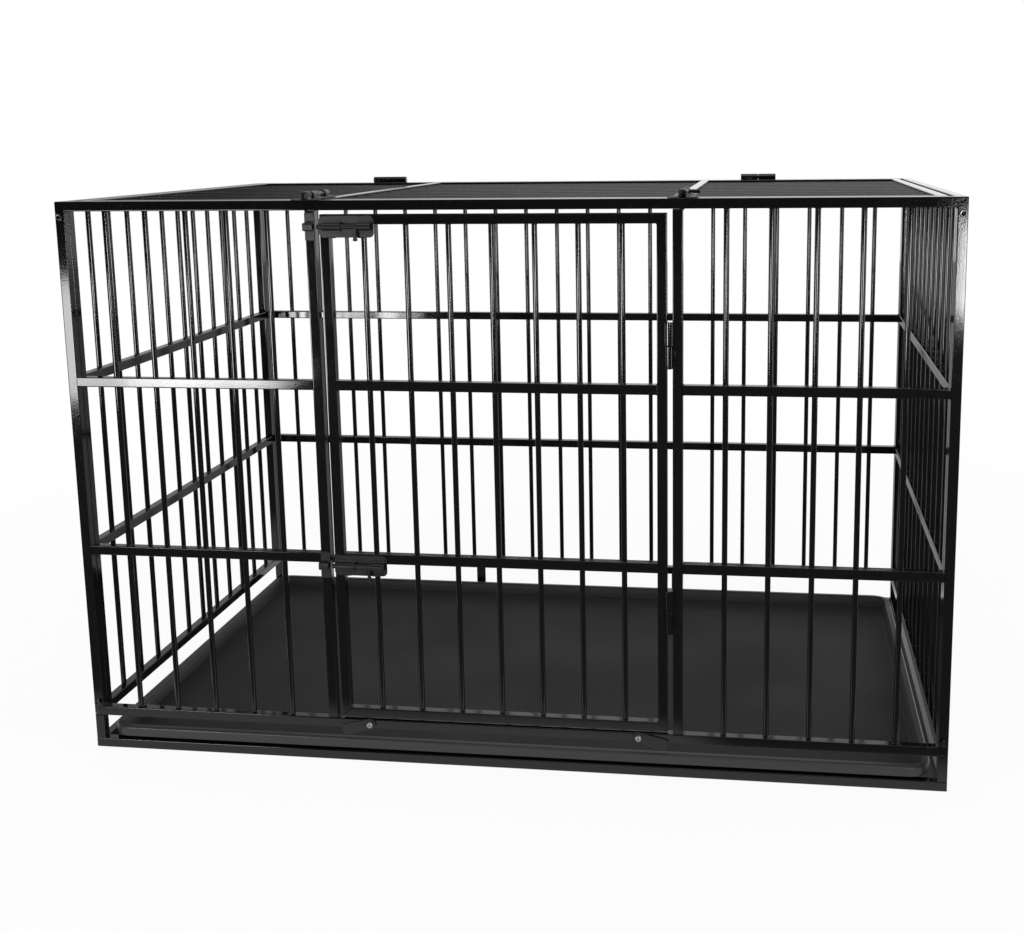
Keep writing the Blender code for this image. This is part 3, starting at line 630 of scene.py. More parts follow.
# A plate in its own XY plane with bevelled edges, and one hole where given.
def addPlate(shape, outline, thickness, bevel, place, hole=None):
    outline = [Vector(p) for p in outline]
    if sum(a.x * b.y - b.x * a.y for a, b in zip(outline, outline[1:] + outline[:1])) < 0:
        outline.reverse()
    face = thickness / 2
    small = shrunk(outline, bevel)

    def rings(levels):
        return [[shape.point(place @ Vector((p.x, p.y, z))) for p in points] for points, z in levels]

    outer = rings(((small, -face), (outline, bevel - face), (outline, face - bevel), (small, face)))
    if hole is None:
        shape.skin(outer)
        return
    shape.skin(outer, capped=False)
    wide = [Vector(p) for p in hole]
    inner = rings(((wide, -face), (wide, face)))
    shape.skin(inner, capped=False)
    shape.mesh.edges.ensure_lookup_table()
    for pair in ((outer[0], inner[0]), (outer[-1], inner[-1])):
        edges = []
        for ring in pair:
            for i, vert in enumerate(ring):
                edges.append(shape.mesh.edges.get((vert, ring[(i + 1) % len(ring)])))
        bmesh.ops.triangle_fill(shape.mesh, use_beauty=True, edges=edges)


def circlePoints(radius, sides=24, centre=(0, 0)):
    return arcPoints(centre, radius, 0, 360 - 360 / sides, sides - 1)


upright = Matrix.Rotation(math.pi / 2, 4, "X")
sideways = Matrix.Rotation(math.pi / 2, 4, "Z") @ upright
tube = tubeValues["width"]
half = tube / 2


def nodeMiddle(node):
    low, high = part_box(node)
    return (low + high) / 2


def placeOn(start, along):
    return Matrix.Translation(start) @ Vector(along).to_track_quat("Z", "Y").to_matrix().to_4x4()


grilleValues = {"barPitch": 0.0546, "middleRails": (0.2843, 0.5155), "seam": 0.0003, "beadInset": 0.0015}


def barPlaces(low, high):
    bays = max(2, round((high - low) / grilleValues["barPitch"]))
    middle = (low + high) / 2
    return [middle + (i - bays / 2) * grilleValues["barPitch"] for i in range(1, bays)]


def rectangle(left, right, bottom, top):
    return [(left, bottom), (right, bottom), (right, top), (left, top)]


# A weld in an inside corner, across the thickness of the tubes.
def addBead(shape, x, y):
    reach = half - grilleValues["beadInset"]
    shape.weld((x, y, -reach), (x, y, reach))


# Four tubes with mitred corners. The numbers are the frame's outer edges.
def addMitredFrame(shape, left, right, bottom, top):
    corners = rectangle(left + half, right - half, bottom + half, top - half)
    diagonals = ((1, -1, 0), (1, 1, 0), (-1, 1, 0), (-1, -1, 0))
    for i in range(4):
        j = (i + 1) % 4
        addTube(shape, (*corners[i], 0), (*corners[j], 0), startCut=diagonals[i], endCut=diagonals[j])
    for x, y in rectangle(left + tube, right - tube, bottom + tube, top - tube):
        addBead(shape, x, y)


# A tube that butts between two others, with a weld in each of its four corners.
def addRail(shape, start, end):
    start, end = Vector((*start, 0)), Vector((*end, 0))
    along = (end - start).normalized()
    addTube(shape, start - along * grilleValues["seam"], end + along * grilleValues["seam"])
    across = Vector((-along.y, along.x, 0)) * half
    for place in (start, end):
        for side in (-1, 1):
            corner = place + across * side
            addBead(shape, corner.x, corner.y)


# Bars between two rails and through the ones between them.
def addBars(shape, places, bottom, top, rails, turned=False):
    sink = weldedValues["Bar Sink"]

    def spot(x, y):
        return (y, x, 0) if turned else (x, y, 0)

    for x in places:
        shape.bar(spot(x, bottom - sink), spot(x, top + sink))
        for rail in rails:
            for side in (-1, 1):
                shape.collar(spot(x, rail + side * (half - sink)), spot(0, side))


def addGrille(shape, low, high, bottom, top):
    addMitredFrame(shape, low, high, bottom, top)
    rails = grilleValues["middleRails"]
    for height in rails:
        addRail(shape, (low + tube, height), (high - tube, height))
    addBars(shape, barPlaces(low + half, high - half), bottom + tube, top - tube, rails)


rearLow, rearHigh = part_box("rear_panel")
leftLow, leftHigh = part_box("left_panel")
rightLow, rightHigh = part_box("right_panel")
panelBottom, crateTop = rearLow.z, rearHigh.z
for name, node, place, turn, low, high in (
    ("rearGrille", "rear_panel", (0, rearHigh.y - half, 0), upright, rearLow.x, rearHigh.x),
    ("leftGrille", "left_panel", (leftLow.x + half, 0, 0), sideways, leftLow.y, leftHigh.y),
    ("rightGrille", "right_panel", (rightHigh.x - half, 0, 0), sideways, rightLow.y, rightHigh.y),
):
    shape = SteelShape(Matrix.Translation(place) @ turn)
    addGrille(shape, low, high, panelBottom, crateTop)
    handIn(shape.finish(name, "glossBlack"), "crate", [node])
print("rear and side grilles built")

frontPlane = Matrix.Translation((0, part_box("front_top_rail")[0].y + half, 0)) @ upright


# A front rail, mitred at both ends. Its inner side is down for a lift of 1 and up for a lift of -1.
def frontRail(name, node, height, lift):
    shape = SteelShape(frontPlane)
    reach = rearHigh.x - half
    addTube(shape, (-reach, height, 0), (reach, height, 0), startCut=(lift, 1, 0), endCut=(-lift, 1, 0))
    handIn(shape.finish(name, "glossBlack"), "crate", [node])


frontRail("frontTopRail", "front_top_rail", crateTop - half, 1)
frontRail("frontBottomRail", "front_bottom_rail", panelBottom + half, -1)


# A corner post, a door post, two middle rails and the bars between them.
def frontGrille(name, node, side):
    shape = SteelShape(frontPlane)
    low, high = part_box(node)
    doorPost = (min(abs(low.x), abs(high.x)) + half) * side
    cornerPost = max(abs(low.x), abs(high.x)) * side - side * half
    seam = grilleValues["seam"]
    bottom, top = panelBottom + tube, crateTop - tube
    addTube(
        shape, (cornerPost, panelBottom + half + seam, 0), (cornerPost, crateTop - half - seam, 0),
        startCut=(side, 1, 0), endCut=(-side, 1, 0),
    )
    addTube(shape, (doorPost, bottom + seam, 0), (doorPost, top - seam, 0))
    inner = (cornerPost - side * half, doorPost + side * half)
    for height in grilleValues["middleRails"]:
        addRail(shape, (inner[0], height), (inner[1], height))
    middles = sorted((cornerPost, doorPost))
    addBars(shape, barPlaces(*middles), bottom + seam, top - seam, grilleValues["middleRails"])
    for x in inner:
        for y in (bottom + 2 * seam, top - 2 * seam):
            addBead(shape, x, y)
    handIn(shape.finish(name, "glossBlack"), "crate", [node])


frontGrille("frontLeftGrille", "front_section_left", -1)
frontGrille("frontRightGrille", "front_section_right", 1)
print("front built")


def makeDoor():
    low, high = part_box("door")
    shape = SteelShape(frontPlane)
    addGrille(shape, low.x, high.x, low.z, high.z)
    handIn(shape.finish("doorGrille", "glossBlack"), "door", ["door"])


# The bars run from side to side and pass through the two cross members.
def makeLid():
    low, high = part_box("lid")
    shape = SteelShape(Matrix.Translation((0, 0, high.z - half)))
    addMitredFrame(shape, low.x, high.x, low.y, high.y)
    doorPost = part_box("front_section_right")[0].x + half
    crosses = (-doorPost, doorPost)
    for x in crosses:
        addRail(shape, (x, low.y + tube), (x, high.y - tube))
    places = barPlaces(low.y + half, high.y - half)
    addBars(shape, places, low.x + tube, high.x - tube, crosses, turned=True)
    handIn(shape.finish("lidGrille", "glossBlack"), "lid", ["lid"])


makeDoor()
makeLid()
print("door and lid built")

baseValues = {"crossSpacing": 0.380, "stubSeam": 0.0002}


def makeBase():
    low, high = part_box("base_frame")
    shape = SteelShape(Matrix.Translation((0, 0, half)))
    addMitredFrame(shape, low.x, high.x, low.y, high.y)
    for x in (-baseValues["crossSpacing"] / 2, baseValues["crossSpacing"] / 2):
        addRail(shape, (x, low.y + tube), (x, high.y - tube))
    reach = half - grilleValues["beadInset"]
    for x in (low.x + half, high.x - half):
        for y in (low.y + half, high.y - half):
            addTube(shape, (x, y, half - baseValues["stubSeam"]), (x, y, high.z - half), side=(0, 1, 0))
            inX, inY = x - math.copysign(half, x), y - math.copysign(half, y)
            shape.weld((inX, y - reach, half), (inX, y + reach, half))
            shape.weld((x - reach, inY, half), (x + reach, inY, half))
    handIn(shape.finish("baseFrame", "glossBlack"), "crate", ["base_frame"])


makeBase()
print("base frame built")

trayValues = {
    "corner": 0.028,
    "leastCorner": 0.004,
    "cornerSteps": 14,
    "arcSteps": 4,
    "wall": 0.0022,
    "rimWidth": 0.0070,
    "rimRound": 0.0016,
    "rimEase": 0.0001,
    "skirtRound": 0.0030,
    "lipEase": (0.0004, 0.0005),
    "draft": 0.0040,
    "wallSlope": 76,  # degrees
    "cove": 0.0050,
    "coveEase": 0.0006,
    "floorReach": 0.05,
    "underRim": ((-0.6, 1.0), (0.1, 1.6)),  # in wall thicknesses
    "underHeel": ((-0.0012, 0.0034), (0.0006, 0.0010), (0.0032, 0.0)),
    "edgeBand": 0.0005,
}


# A moulded pan: each ring is a rounded rectangle at a margin inside the tray's edge and at a height.
def makeTray(values):
    low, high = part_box("tray")
    wall, steps, slope, cove = values["wall"], values["arcSteps"], values["wallSlope"], values["cove"]
    rimRound, skirtRound = values["rimRound"], values["skirtRound"]
    top, foot = high.z, low.z
    rimIn, floorTop = values["rimWidth"] + wall, foot + wall
    slopeFoot = rimIn + values["draft"]
    reach = slopeFoot + values["floorReach"]
    edge = [v.co.z for v in frame["nodes"]["tray"].data.vertices if v.co.x < low.x + values["edgeBand"]]
    lip = min(edge)  # the skirt's lower edge, as high as the CAD tray's
    easeIn, easeUp = values["lipEase"]

    # From the middle of the floor, over the rim, and back underneath.
    section = [(reach, floorTop), (slopeFoot + cove + values["coveEase"], floorTop)]
    for a in [math.radians(slope) * i / (steps + 1) for i in range(steps + 2)]:
        section.append((slopeFoot + cove - cove * math.sin(a), floorTop + cove * (1 - math.cos(a))))
    for a in [math.radians(slope - slope * i / steps) for i in range(steps + 1)]:
        inward = rimIn - rimRound * math.sin(a) - values["rimEase"]
        section.append((inward, top - rimRound * (1 - math.cos(a))))
    for a in [math.radians(90 * i / (steps + 2)) for i in range(steps + 3)]:
        section.append((skirtRound - skirtRound * math.sin(a), top - skirtRound * (1 - math.cos(a))))
    section += [(0.0, lip + easeUp), (easeIn, lip), (wall - easeIn, lip), (wall, lip + easeUp)]
    for a in [math.radians(90 * i / steps) for i in range(steps + 1)]:
        inward = wall + (skirtRound - wall / 2) * (1 - math.cos(a))
        section.append((inward, top - skirtRound + (skirtRound - wall) * math.sin(a)))
    section += [(rimIn + wall * x, top - wall * z) for x, z in values["underRim"]]
    section += [(slopeFoot + x, foot + z) for x, z in values["underHeel"]]
    section += [(reach, foot)]

    shape = SteelShape()
    rings = []
    for margin, height in section:
        radius = max(values["leastCorner"], values["corner"] - margin)
        corners = rectangle(low.x + margin, high.x - margin, low.y + margin, high.y - margin)
        ring = roundedOutline(corners, [radius] * 4, values["cornerSteps"])
        rings.append([shape.point((p.x, p.y, height)) for p in ring])
    shape.skin(rings)
    handIn(shape.finish("trayPan", "trayPlastic"), "tray", ["tray"])


makeTray(trayValues)
print("tray moulded")

hingeValues = {
    "sides": 36,
    "rounding": 0.0008,
    "barrelRadius": 0.0055,
    "doorPinBarrelRadius": 0.0044,
    "barrelLength": 0.0290,
    "pinRadius": 0.0025,
    "pinStart": 0.006,
    "pinRoundings": (0.0006, 0.0002),
    "pinSides": 20,
    "weldLength": 0.0170,
    "weld": {"Bead Radius": 0.0019, "Bead Wander": 0.0005},
}
hingeAxes = {"door": Vector((0, 0, 1)), "lid": Vector((-1, 0, 0))}
hingeRows = {  # the body, the panel, the barrels and how far the weld lies off the axis
    "doorHingeBarrels": ("door", "door", ("upper_barrel", "lower_barrel"), (-0.0045, 0.00246, 0)),
    "doorHingePins": ("crate", "door", ("upper_pin_barrel", "lower_pin_barrel"), (0.0053, 0.00246, 0)),
    "lidHingeBarrels": ("lid", "lid", ("left_barrel", "right_barrel"), (0, -0.0050, -0.0021)),
    "lidHingePins": ("crate", "lid", ("left_pin_barrel", "right_pin_barrel"), (0, 0.0050, -0.0021)),
}


# Turned barrels with their weld, and the pin where the barrel carries one.
def makeHinges(values, name, body, panel, ends, weldOffset):
    along = hingeAxes[panel]
    joint = [joint for joint in frame["joints"] if joint["name"] == f"{panel}_swing"][0]
    origin = Vector(joint["pos_m"])
    length, rounding = values["barrelLength"], values["rounding"]
    shape = SteelShape()
    nodes = [f"{panel}_hinge_{end}" for end in ends]
    for node in nodes:
        reach = [(v.co - origin).dot(along) for v in frame["nodes"][node].data.vertices]
        base = origin + along * min(reach)
        isPin = "pin" in node
        radius = values["doorPinBarrelRadius" if isPin and panel == "door" else "barrelRadius"]
        barrel = rodProfile(radius, length, rounding, rounding)
        addTurned(shape, barrel, placeOn(base, along), values["sides"])
        if isPin:
            start = values["pinStart"]
            pin = rodProfile(values["pinRadius"], max(reach) - min(reach) - start, *values["pinRoundings"])
            addTurned(shape, pin, placeOn(base + along * start, along), values["pinSides"])
        middle = base + along * length / 2 + Vector(weldOffset)
        reach = along * values["weldLength"] / 2
        shape.weld(middle - reach, middle + reach)
    handIn(shape.finish(name, "glossBlack", values["weld"]), body, nodes)


for name, row in hingeRows.items():
    makeHinges(hingeValues, name, *row)
print("hinges built")

boltValues = {
    "plate": (0.0710, 0.0275, 0.0016),  # length, width and thickness
    "plateCorner": 0.0060,
    "bevel": 0.0004,
    "outlineSteps": 8,
    "rodAxis": 0.0058,
    "rodRadius": 0.0032,
    "rodLength": 0.0560,
    "rodRound": 0.0011,
    "rodTail": 0.0542,
    "rodSides": 32,
    "guideSpans": ((0.0050, 0.0290), (0.0505, 0.0685)),
    "guideRadius": 0.0047,
    "guideBore": 0.0037,
    "boreSides": 28,
    "guideFoot": 0.0078,
    "guideSink": 0.0012,
    "guideFlange": 0.0028,
    "guideRounds": (0.0, 0.0005, 0.0007, 0.00469),
    "handleAt": 0.0479,
    "handle": (0.0023, 0.0180),  # radius and reach from the rod's axis
    "handleFoot": ((0.0, 0.0004), (0.0002, 0.0001)),  # wider and higher than the handle and the rod
    "handleSink": 0.0010,
    "handleSides": 28,
    "knob": (0.0029, 0.0034),
    "knobRounds": (0.0011, 0.0005),
    "neck": 0.0003,
    "tacks": ((0.011, 0.022), (0.049, 0.060)),
    "tackInset": (0.0002, 0.0008),
    "weld": {"Bead Radius": 0.0010, "Bead Wander": 0.0004},
}

facingAlong = Matrix(((0, 0, 1, 0), (0, -1, 0, 0), (1, 0, 0, 0), (0, 0, 0, 1)))
lyingFlat = Matrix(((0, 0, -1, 0), (1, 0, 0, 0), (0, -1, 0, 0), (0, 0, 0, 1)))


# The section of a guide: a hood over the rod with a flange on each side.
def guideOutline(values):
    foot, wide, flange = values["guideFoot"], values["guideRadius"], values["guideFlange"]
    corners = [(foot, values["guideSink"]), (foot, flange), (wide, flange), (wide, values["rodAxis"] + wide)]
    corners += [(-x, y) for x, y in reversed(corners)]
    radii = values["guideRounds"]
    return roundedOutline(corners, radii + radii[::-1], values["outlineSteps"])


def makeBoltPlate(values, name, node, body, place):
    length, width, thick = values["plate"]
    seat = grilleValues["seam"]
    shape = SteelShape(place)
    corners = rectangle(0, length, -width / 2, width / 2)
    outline = roundedOutline(corners, [values["plateCorner"]] * 4, values["outlineSteps"])
    addPlate(shape, outline, thick, values["bevel"], Matrix.Translation((0, -seat - thick / 2, 0)) @ upright)
    for start, end in values["guideSpans"]:
        middle = Matrix.Translation(((start + end) / 2, 0, 0)) @ facingAlong
        bore = circlePoints(values["guideBore"], values["boreSides"], (0, values["rodAxis"]))
        addPlate(shape, guideOutline(values), end - start, values["bevel"], middle, bore)
    inset, depth = values["tackInset"]
    for start, end in values["tacks"]:
        for edge in (-1, 1):
            z = edge * (width / 2 - inset)
            shape.weld((start, -seat - depth, z), (end, -seat - depth, z))
    handIn(shape.finish(name, "satinBlack", values["weld"]), body, [node])


def makeBoltRod(values, name, node, body, place, handleSide):
    shape = SteelShape(place)
    axis, radius, rounding = -values["rodAxis"], values["rodRadius"], values["rodRound"]
    rod = rodProfile(radius, values["rodLength"], rounding, rounding)
    addTurned(shape, rod, placeOn((values["rodTail"], axis, 0), (-1, 0, 0)), values["rodSides"])
    thin, reach = values["handle"]
    knob, knobLength = values["knob"]
    crown, heel = values["knobRounds"]
    profile = [(0, reach), *arcPoints((knob - crown, reach - crown), crown, 90, 0, 5)]
    profile += arcPoints((knob - heel, reach - knobLength + heel), heel, 0, -90, 3)
    profile += [(thin, reach - knobLength - values["neck"])]
    profile += [(thin + wider, radius + higher) for wider, higher in values["handleFoot"]]
    profile += [(profile[-1][0], values["handleSink"]), (0, values["handleSink"])]
    handlePlace = placeOn((values["handleAt"], axis, 0), (0, 0, handleSide))
    addTurned(shape, profile, handlePlace, values["handleSides"])
    handIn(shape.finish(name, "satinBlack"), body, [node])


keeperValues = {
    "width": 0.0130,
    "inner": 0.0038,
    "outer": 0.0050,
    "roof": 0.0096,
    "crown": 0.0108,
    "end": 0.0175,
    "foot": 0.0015,
    "seat": 0.0003,
    "bevel": 0.0003,
    "outerRounds": (0.0004, 0.0005, 0.0012, 0.0022),
    "innerRounds": (0.0004, 0.0010),
    "weldReach": 0.0045,
    "weldOut": 0.0002,
    "weld": {"Bead Radius": 0.0011, "Bead Wander": 0.0004},
}


# A strap bent into a hat section, welded down at both feet.
def makeKeeper(values, name, node, place):
    end, foot, seat, inner, outer = (values[key] for key in ("end", "foot", "seat", "inner", "outer"))
    corners = [(end, seat), (end, foot), (outer, foot), (outer, values["crown"])]
    corners += [(-x, y) for x, y in reversed(corners)]
    corners += [(-inner, seat), (-inner, values["roof"]), (inner, values["roof"]), (inner, seat)]
    radii = values["outerRounds"] + values["outerRounds"][::-1]
    radii += values["innerRounds"] + values["innerRounds"][::-1]
    along = (nodeMiddle(node) - place.translation).dot(place.to_3x3() @ Vector((1, 0, 0)))
    shape = SteelShape(place @ Matrix.Translation((along, 0, 0)) @ facingAlong)
    addPlate(shape, roundedOutline(corners, radii), values["width"], values["bevel"], Matrix.Identity(4))
    for edge in (-1, 1):
        x, y = edge * (end + values["weldOut"]), foot / 2
        shape.weld((x, y, -values["weldReach"]), (x, y, values["weldReach"]))
    handIn(shape.finish(name, "satinBlack", values["weld"]), "crate", [node])


# A bolt's nodes start with its node name. Its plate rides on the panel and its rod on its own body.
def makeSlideBolt(title, node, panel, place, handleSide):
    makeBoltPlate(boltValues, f"{title}Plate", f"{node}_plate", panel, place)
    makeBoltRod(boltValues, f"{title}Rod", f"{node}_rod", node, place, handleSide)
    makeKeeper(keeperValues, f"{title}Keeper", f"{node}_keeper", place)


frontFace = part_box("door")[0].y
for level in ("upper", "lower"):
    low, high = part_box(f"door_bolt_{level}_plate")
    place = Matrix.Translation((low.x, frontFace, (low.z + high.z) / 2))
    makeSlideBolt(f"doorBolt{level.title()}", f"door_bolt_{level}", "door", place, -1)
for side, sign in (("left", -1), ("right", 1)):
    low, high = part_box(f"lid_bolt_{side}_plate")
    place = Matrix.Translation(((low.x + high.x) / 2, low.y, crateTop)) @ lyingFlat
    makeSlideBolt(f"lidBolt{side.title()}", f"lid_bolt_{side}", "lid", place, -sign)
print("slide bolts built")

latchValues = {
    "width": 0.0160,
    "reach": 0.0390,
    "thickness": 0.0020,
    "hole": 0.0031,
    "headSteps": 20,
    "tipRound": 0.0025,
    "bevel": 0.0004,
    "turns": {"front_left": 76, "front_right": -76, "rear_left": 0, "rear_right": 0},  # degrees at rest
}


def makeLatch(values, name, node, pivot, out, turn):
    side, reach, tip = values["width"] / 2, values["reach"], values["tipRound"]
    outline = [Vector(p) for p in arcPoints((0, 0), side, 0, 180, values["headSteps"])]
    tail = roundedOutline([(-side, 0), (-side, -reach), (side, -reach), (side, 0)], [0, tip, tip, 0])
    outline += tail[1:-1]
    middle = pivot + out * (grilleValues["seam"] + values["thickness"] / 2)
    place = Matrix.Translation(middle) @ Matrix.Rotation(math.radians(turn), 4, "Y") @ upright
    shape = SteelShape()
    addPlate(shape, outline, values["thickness"], values["bevel"], place, circlePoints(values["hole"]))
    handIn(shape.finish(name, "satinBlack"), node, [node])


screwValues = {
    "radius": 0.0045,
    "height": 0.0032,
    "socket": 0.00125,
    "socketDepth": 0.0018,
    "flare": 1.4,
    "dome": 0.0022,
    "domeSteps": 7,
    "twist": 0.7,  # radians from one copy to the next
    "finish": "zincSteel",
}
cornerBoltValues = {
    "radius": 0.0044,
    "height": 0.0034,
    "socket": 0.0020,
    "socketDepth": 0.0020,
    "flare": 1.22,
    "rounding": 0.0006,
    "twist": 1.1,
    "finish": "oiledSteel",
}
socketValues = {"flats": 6, "edge": 0.0002, "sides": 36, "scale": 1.0}


# A hexagon socket, from its floor up to the head's crown.
def socketProfile(values):
    flats, wide, top = socketValues["flats"], values["socket"], values["height"]
    floor = top - values["socketDepth"]
    profile = [(0, floor), (wide, floor, flats), (wide, top - socketValues["edge"], flats)]
    return profile + [(wide * values["flare"], top)]


def screwProfile(values):
    profile, steps = socketProfile(values), values["domeSteps"]
    spread = profile[-1][0]
    for step in range(1, steps + 1):
        angle = math.pi / 2 * step / steps
        drop = values["dome"] * (1 - math.cos(angle))
        profile.append((spread + (values["radius"] - spread) * math.sin(angle), values["height"] - drop))
    return profile + [(values["radius"], 0), (0, 0)]


def cornerBoltProfile(values):
    rounding = values["rounding"]
    corner = (values["radius"] - rounding, values["height"] - rounding)
    return socketProfile(values) + arcPoints(corner, rounding, 90, 0, 4) + [(values["radius"], 0), (0, 0)]


# One piece that holds a copy of the fastener at each spot, for all the nodes.
def placeFasteners(values, name, sourceName, profile, spots):
    single = SteelShape()
    addTurned(single, profile, sides=socketValues["sides"])
    source = single.finish(sourceName, values["finish"])
    shape = SteelShape()
    for where, aim in spots.values():
        shape.point(where, plainPart, aim)
    piece = shape.asObject(name)
    settings = {"Fastener": source, "Scale": socketValues["scale"], "Twist": values["twist"]}
    bake(piece, fastenerTree, {**settings, "Finish": finishes[values["finish"]]})
    bpy.data.objects.remove(source)
    handIn(piece, "crate", spots)


faces = {"front": (frontFace, Vector((0, -1, 0))), "rear": (rearHigh.y, Vector((0, 1, 0)))}
screwSpots = {}
for spot, turn in latchValues["turns"].items():
    end, side = spot.split("_")
    face, out = faces[end]
    pivot = nodeMiddle(f"tray_latch_{spot}_screw")
    pivot.y = face
    makeLatch(latchValues, f"trayLatch{end.title()}{side.title()}", f"tray_latch_{spot}", pivot, out, turn)
    seat = pivot + out * (latchValues["thickness"] + 2 * grilleValues["seam"])
    screwSpots[f"tray_latch_{spot}_screw"] = (seat, out)
placeFasteners(screwValues, "latchScrews", "latchScrew", screwProfile(screwValues), screwSpots)

boltSpots = {}
for end, (face, out) in faces.items():
    for side in ("left", "right"):
        for level in ("low", "high"):
            node = f"corner_bolt_{end}_{side}_{level}"
            seat = nodeMiddle(node)
            seat.y = face
            boltSpots[node] = (seat + out * grilleValues["seam"], out)
placeFasteners(cornerBoltValues, "cornerBolts", "cornerBolt", cornerBoltProfile(cornerBoltValues), boltSpots)
print("latches and fasteners built")

floorValues = {
    "size": 14.0,
    "drop": 0.0003,
    "tone": 0.86,
    "white": 1.0,
    "shadow": 0.08,  # the share of the floor's own shading that the camera sees near the crate
    "shadowRange": (0.9, 2.2),
    # painted shade: a strip of floor just inside the base frame is painted dark, where the crate's shadow
    # falls
    "paintedShadeRange": (-0.012, 0.0),  # dark just inside the base frame
    "paintedShadeLevel": 0.03,
    "shadeEndRange": (-0.07, -0.035),  # and pale again further in, where the painted shade ends
    # What a mirror sees of the floor is a painted glow: bright beside the crate, painted shade beneath its
    # edge, and further off from the front to the back.
    "mirrorNear": 0.75,
    "mirrorShadeUnder": 0.05,
    "mirrorRange": (0.11, 0.20),
    "mirrorFar": (0.10, 0.35),
    "farRange": (-0.3, 0.6),
    "rightDrop": 0.08,
    "rightRange": (0.20, 0.32),
}


# A pale floor that keeps a soft shadow, has a strip of painted shade just inside the base frame and fades
# into the background.
def makeFloor(values):
    shape = bmesh.new()
    bmesh.ops.create_grid(shape, x_segments=4, y_segments=4, size=values["size"] / 2)
    bmesh.ops.translate(shape, verts=shape.verts, vec=(0, 0, -values["drop"]))
    mesh = bpy.data.meshes.new("studioFloor")
    shape.to_mesh(mesh)
    shape.free()
    material = bpy.data.materials.new("paleFloor")
    material.use_nodes = True
    tree = material.node_tree
    tree.nodes.clear()
    path = tree.nodes.new("ShaderNodeLightPath").outputs
    place = objectPlace(tree)
    axes = axesOf(tree, place)

    def eased(value, span, first, last):
        return ranged(tree, value, *span, first, last, "SMOOTHSTEP")

    outside = []
    frameLow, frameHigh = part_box("base_frame")
    for axis, reach in (("X", frameHigh.x), ("Y", -frameLow.y)):
        outside.append(mathNode(tree, "SUBTRACT", mathNode(tree, "ABSOLUTE", axes[axis]), reach))
    gap = mathNode(tree, "MAXIMUM", *outside)
    # painted shade: the floor's colour and the white that the camera sees are darkened in this strip
    paintedShade = eased(gap, values["paintedShadeRange"], values["paintedShadeLevel"], 1.0)
    paintedShade = mathNode(tree, "MAXIMUM", paintedShade, eased(gap, values["shadeEndRange"], 1.0, 0.0))

    distance = addNode(tree, "ShaderNodeVectorMath", operation="LENGTH", Vector=place).outputs["Value"]
    clear = eased(distance, values["shadowRange"], 1 - values["shadow"], 1.0)
    share = mathNode(tree, "MULTIPLY", mathNode(tree, "MULTIPLY", clear, paintedShade), path["Is Camera Ray"])
    plain = addNode(tree, "ShaderNodeBsdfDiffuse", Color=mathNode(tree, "MULTIPLY", paintedShade, values["tone"]))
    white = addNode(tree, "ShaderNodeEmission", Strength=values["white"])
    seen = mixShaders(tree, share, plain, white)

    drop = eased(axes["X"], values["rightRange"], 0.0, values["rightDrop"])
    away = eased(mathNode(tree, "ADD", gap, drop), values["mirrorRange"], 0.0, 1.0)
    far = eased(axes["Y"], values["farRange"], *values["mirrorFar"])
    # painted shade in the floor's glow just inside the base frame, as mirrors see it
    beside = eased(gap, values["paintedShadeRange"], values["mirrorShadeUnder"], values["mirrorNear"])
    near = mathNode(tree, "MULTIPLY", oneMinus(tree, away), beside)
    # the floor glows for mirrors only: a painted reflection of a lit floor
    mirror = addNode(tree, "ShaderNodeEmission", Strength=mathNode(tree, "MULTIPLY_ADD", away, far, near))
    shiny = mathNode(tree, "MAXIMUM", path["Is Glossy Ray"], path["Is Transmission Ray"])
    both = mixShaders(tree, shiny, seen, mirror)
    wire(tree, both.outputs[0], tree.nodes.new("ShaderNodeOutputMaterial").inputs["Surface"])
    mesh.materials.append(material)
    linked("studioFloor", mesh)


cardValues = {"across": (-1.75, -1.115), "up": (0.05, 0.75), "forward": -1.2, "tone": (0.01, 0.01, 0.01, 1)}


# A black card hides the left lamp from the rear left post, as the photograph has it.
def makeCard(values):
    mesh = bpy.data.meshes.new("blackCard")
    corners = rectangle(*values["across"], *values["up"])
    mesh.from_pydata([(x, values["forward"], z) for x, z in corners], [], [(0, 1, 2, 3)])
    card = linked("blackCard", mesh)
    material = bpy.data.materials.new("blackFelt")
    material.use_nodes = True
    shader = material.node_tree.nodes["Principled BSDF"]
    shader.inputs["Base Color"].default_value = values["tone"]
    shader.inputs["Roughness"].default_value = 1.0
    mesh.materials.append(material)
    card.visible_camera = False
    card.visible_diffuse = False


skyValues = {
    "white": 1.0,
    "light": 0.55,
    "behindRange": (-0.35, 0.25),  # a mirror sees the sky dark in front of the crate and white behind it
    "behind": (0.05, 1.0),
    "leftRange": (-0.42, -0.12),
    "left": (0.5, 1.0),
    "highRange": (0.32, 0.60),
    "high": (1.0, 0.35),
}


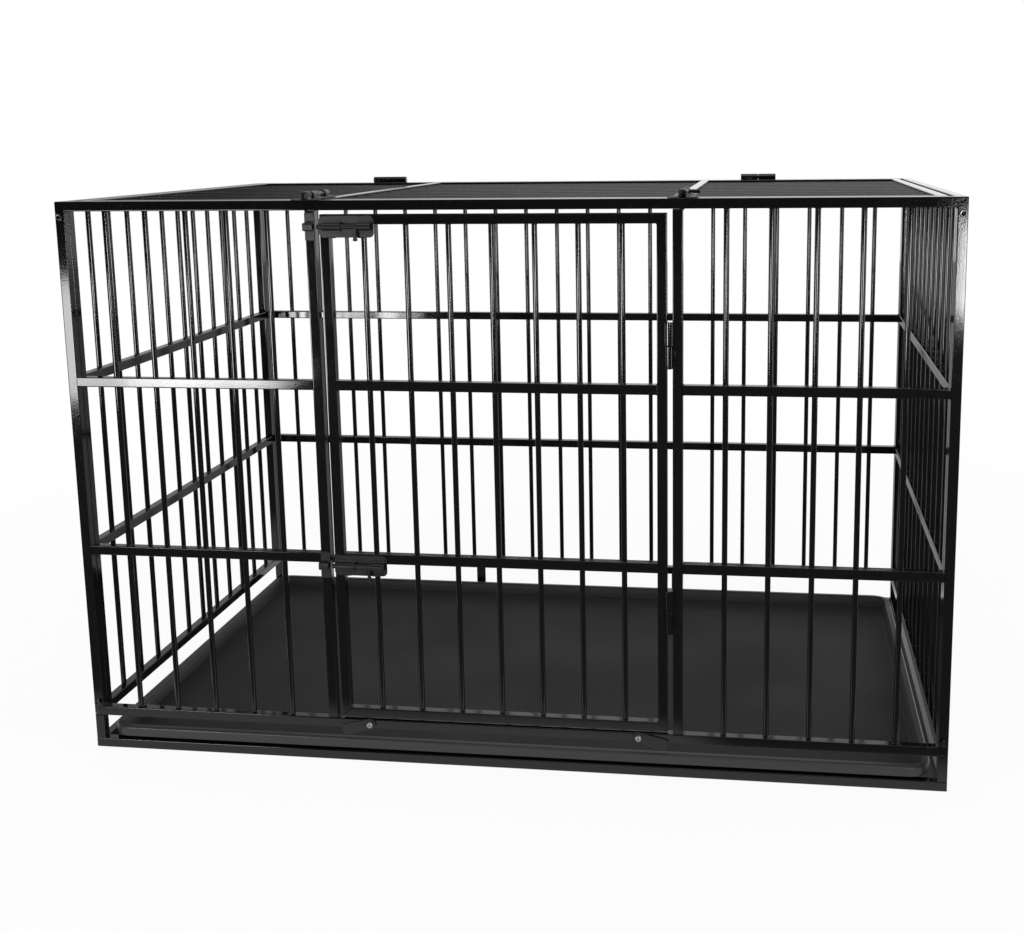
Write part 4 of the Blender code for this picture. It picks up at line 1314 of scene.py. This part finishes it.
# White to the camera, plain light for diffuse rays, and a studio's dark and bright sides for mirrors.
def makeWorld(values):
    world = bpy.data.worlds.new("studio")
    world.use_nodes = True
    bpy.context.scene.world = world
    tree = world.node_tree
    tree.nodes.clear()
    path = tree.nodes.new("ShaderNodeLightPath").outputs
    axes = axesOf(tree, addNode(tree, "ShaderNodeTexCoord").outputs["Generated"])
    behind, left, high = (
        ranged(tree, axes[axis], *values[f"{part}Range"], *values[part], "SMOOTHSTEP")
        for axis, part in (("Y", "behind"), ("X", "left"), ("Z", "high"))
    )
    sky = mathNode(tree, "MULTIPLY", behind, mathNode(tree, "MULTIPLY", left, high))
    shiny = mathNode(tree, "MAXIMUM", path["Is Glossy Ray"], path["Is Transmission Ray"])
    plain = mathNode(tree, "MULTIPLY", oneMinus(tree, shiny), values["light"])
    level = mathNode(tree, "ADD", mathNode(tree, "MULTIPLY", shiny, sky), plain)
    level = mathNode(tree, "MULTIPLY", level, oneMinus(tree, path["Is Camera Ray"]))
    level = mathNode(tree, "MULTIPLY_ADD", path["Is Camera Ray"], values["white"], level)
    background = addNode(tree, "ShaderNodeBackground", Color=(1, 1, 1, 1), Strength=level)
    wire(tree, background.outputs[0], tree.nodes.new("ShaderNodeOutputWorld").inputs["Surface"])


lampValues = {  # middle, aimed at, width, height, radiance
    "lowLeftBox": ((-1.31, -2.18, 0.30), (-0.4, -0.34, 0.4), 0.66, 0.33, 13.5),
    "lowLeftCore": ((-1.25, -2.22, 0.28), (-0.4, -0.34, 0.4), 0.38, 0.34, 11.0),
    "lowRightBox": ((1.32, -3.45, 0.355), (0.5, -0.34, 0.5), 0.66, 0.34, 28.0),
    "topBox": ((0.2, -0.4, 3.0), (0, 0, 0.4), 2.6, 2.6, 1.6),
    "leftStrip": ((-2.6, 0.1, 0.9), (0, 0, 0.5), 0.22, 1.8, 7.0),
    "rightStrip": ((2.7, -0.5, 0.9), (0, 0, 0.5), 0.25, 1.8, 9.0),
}


def makeLamp(name, middle, target, width, height, radiance):
    lamp = bpy.data.lights.new(name, "AREA")
    lamp.shape = "RECTANGLE"
    lamp.size, lamp.size_y = width, height
    lamp.energy = radiance * math.pi * width * height
    holder = linked(name, lamp)
    aim = Vector(target) - Vector(middle)
    holder.matrix_world = Matrix.Translation(middle) @ aim.to_track_quat("-Z", "Y").to_matrix().to_4x4()
    holder.visible_camera = False


makeFloor(floorValues)
makeCard(cardValues)
makeWorld(skyValues)
for name, row in lampValues.items():
    makeLamp(name, *row)
bpy.context.scene.view_settings.view_transform = "Standard"
print("stage lit")
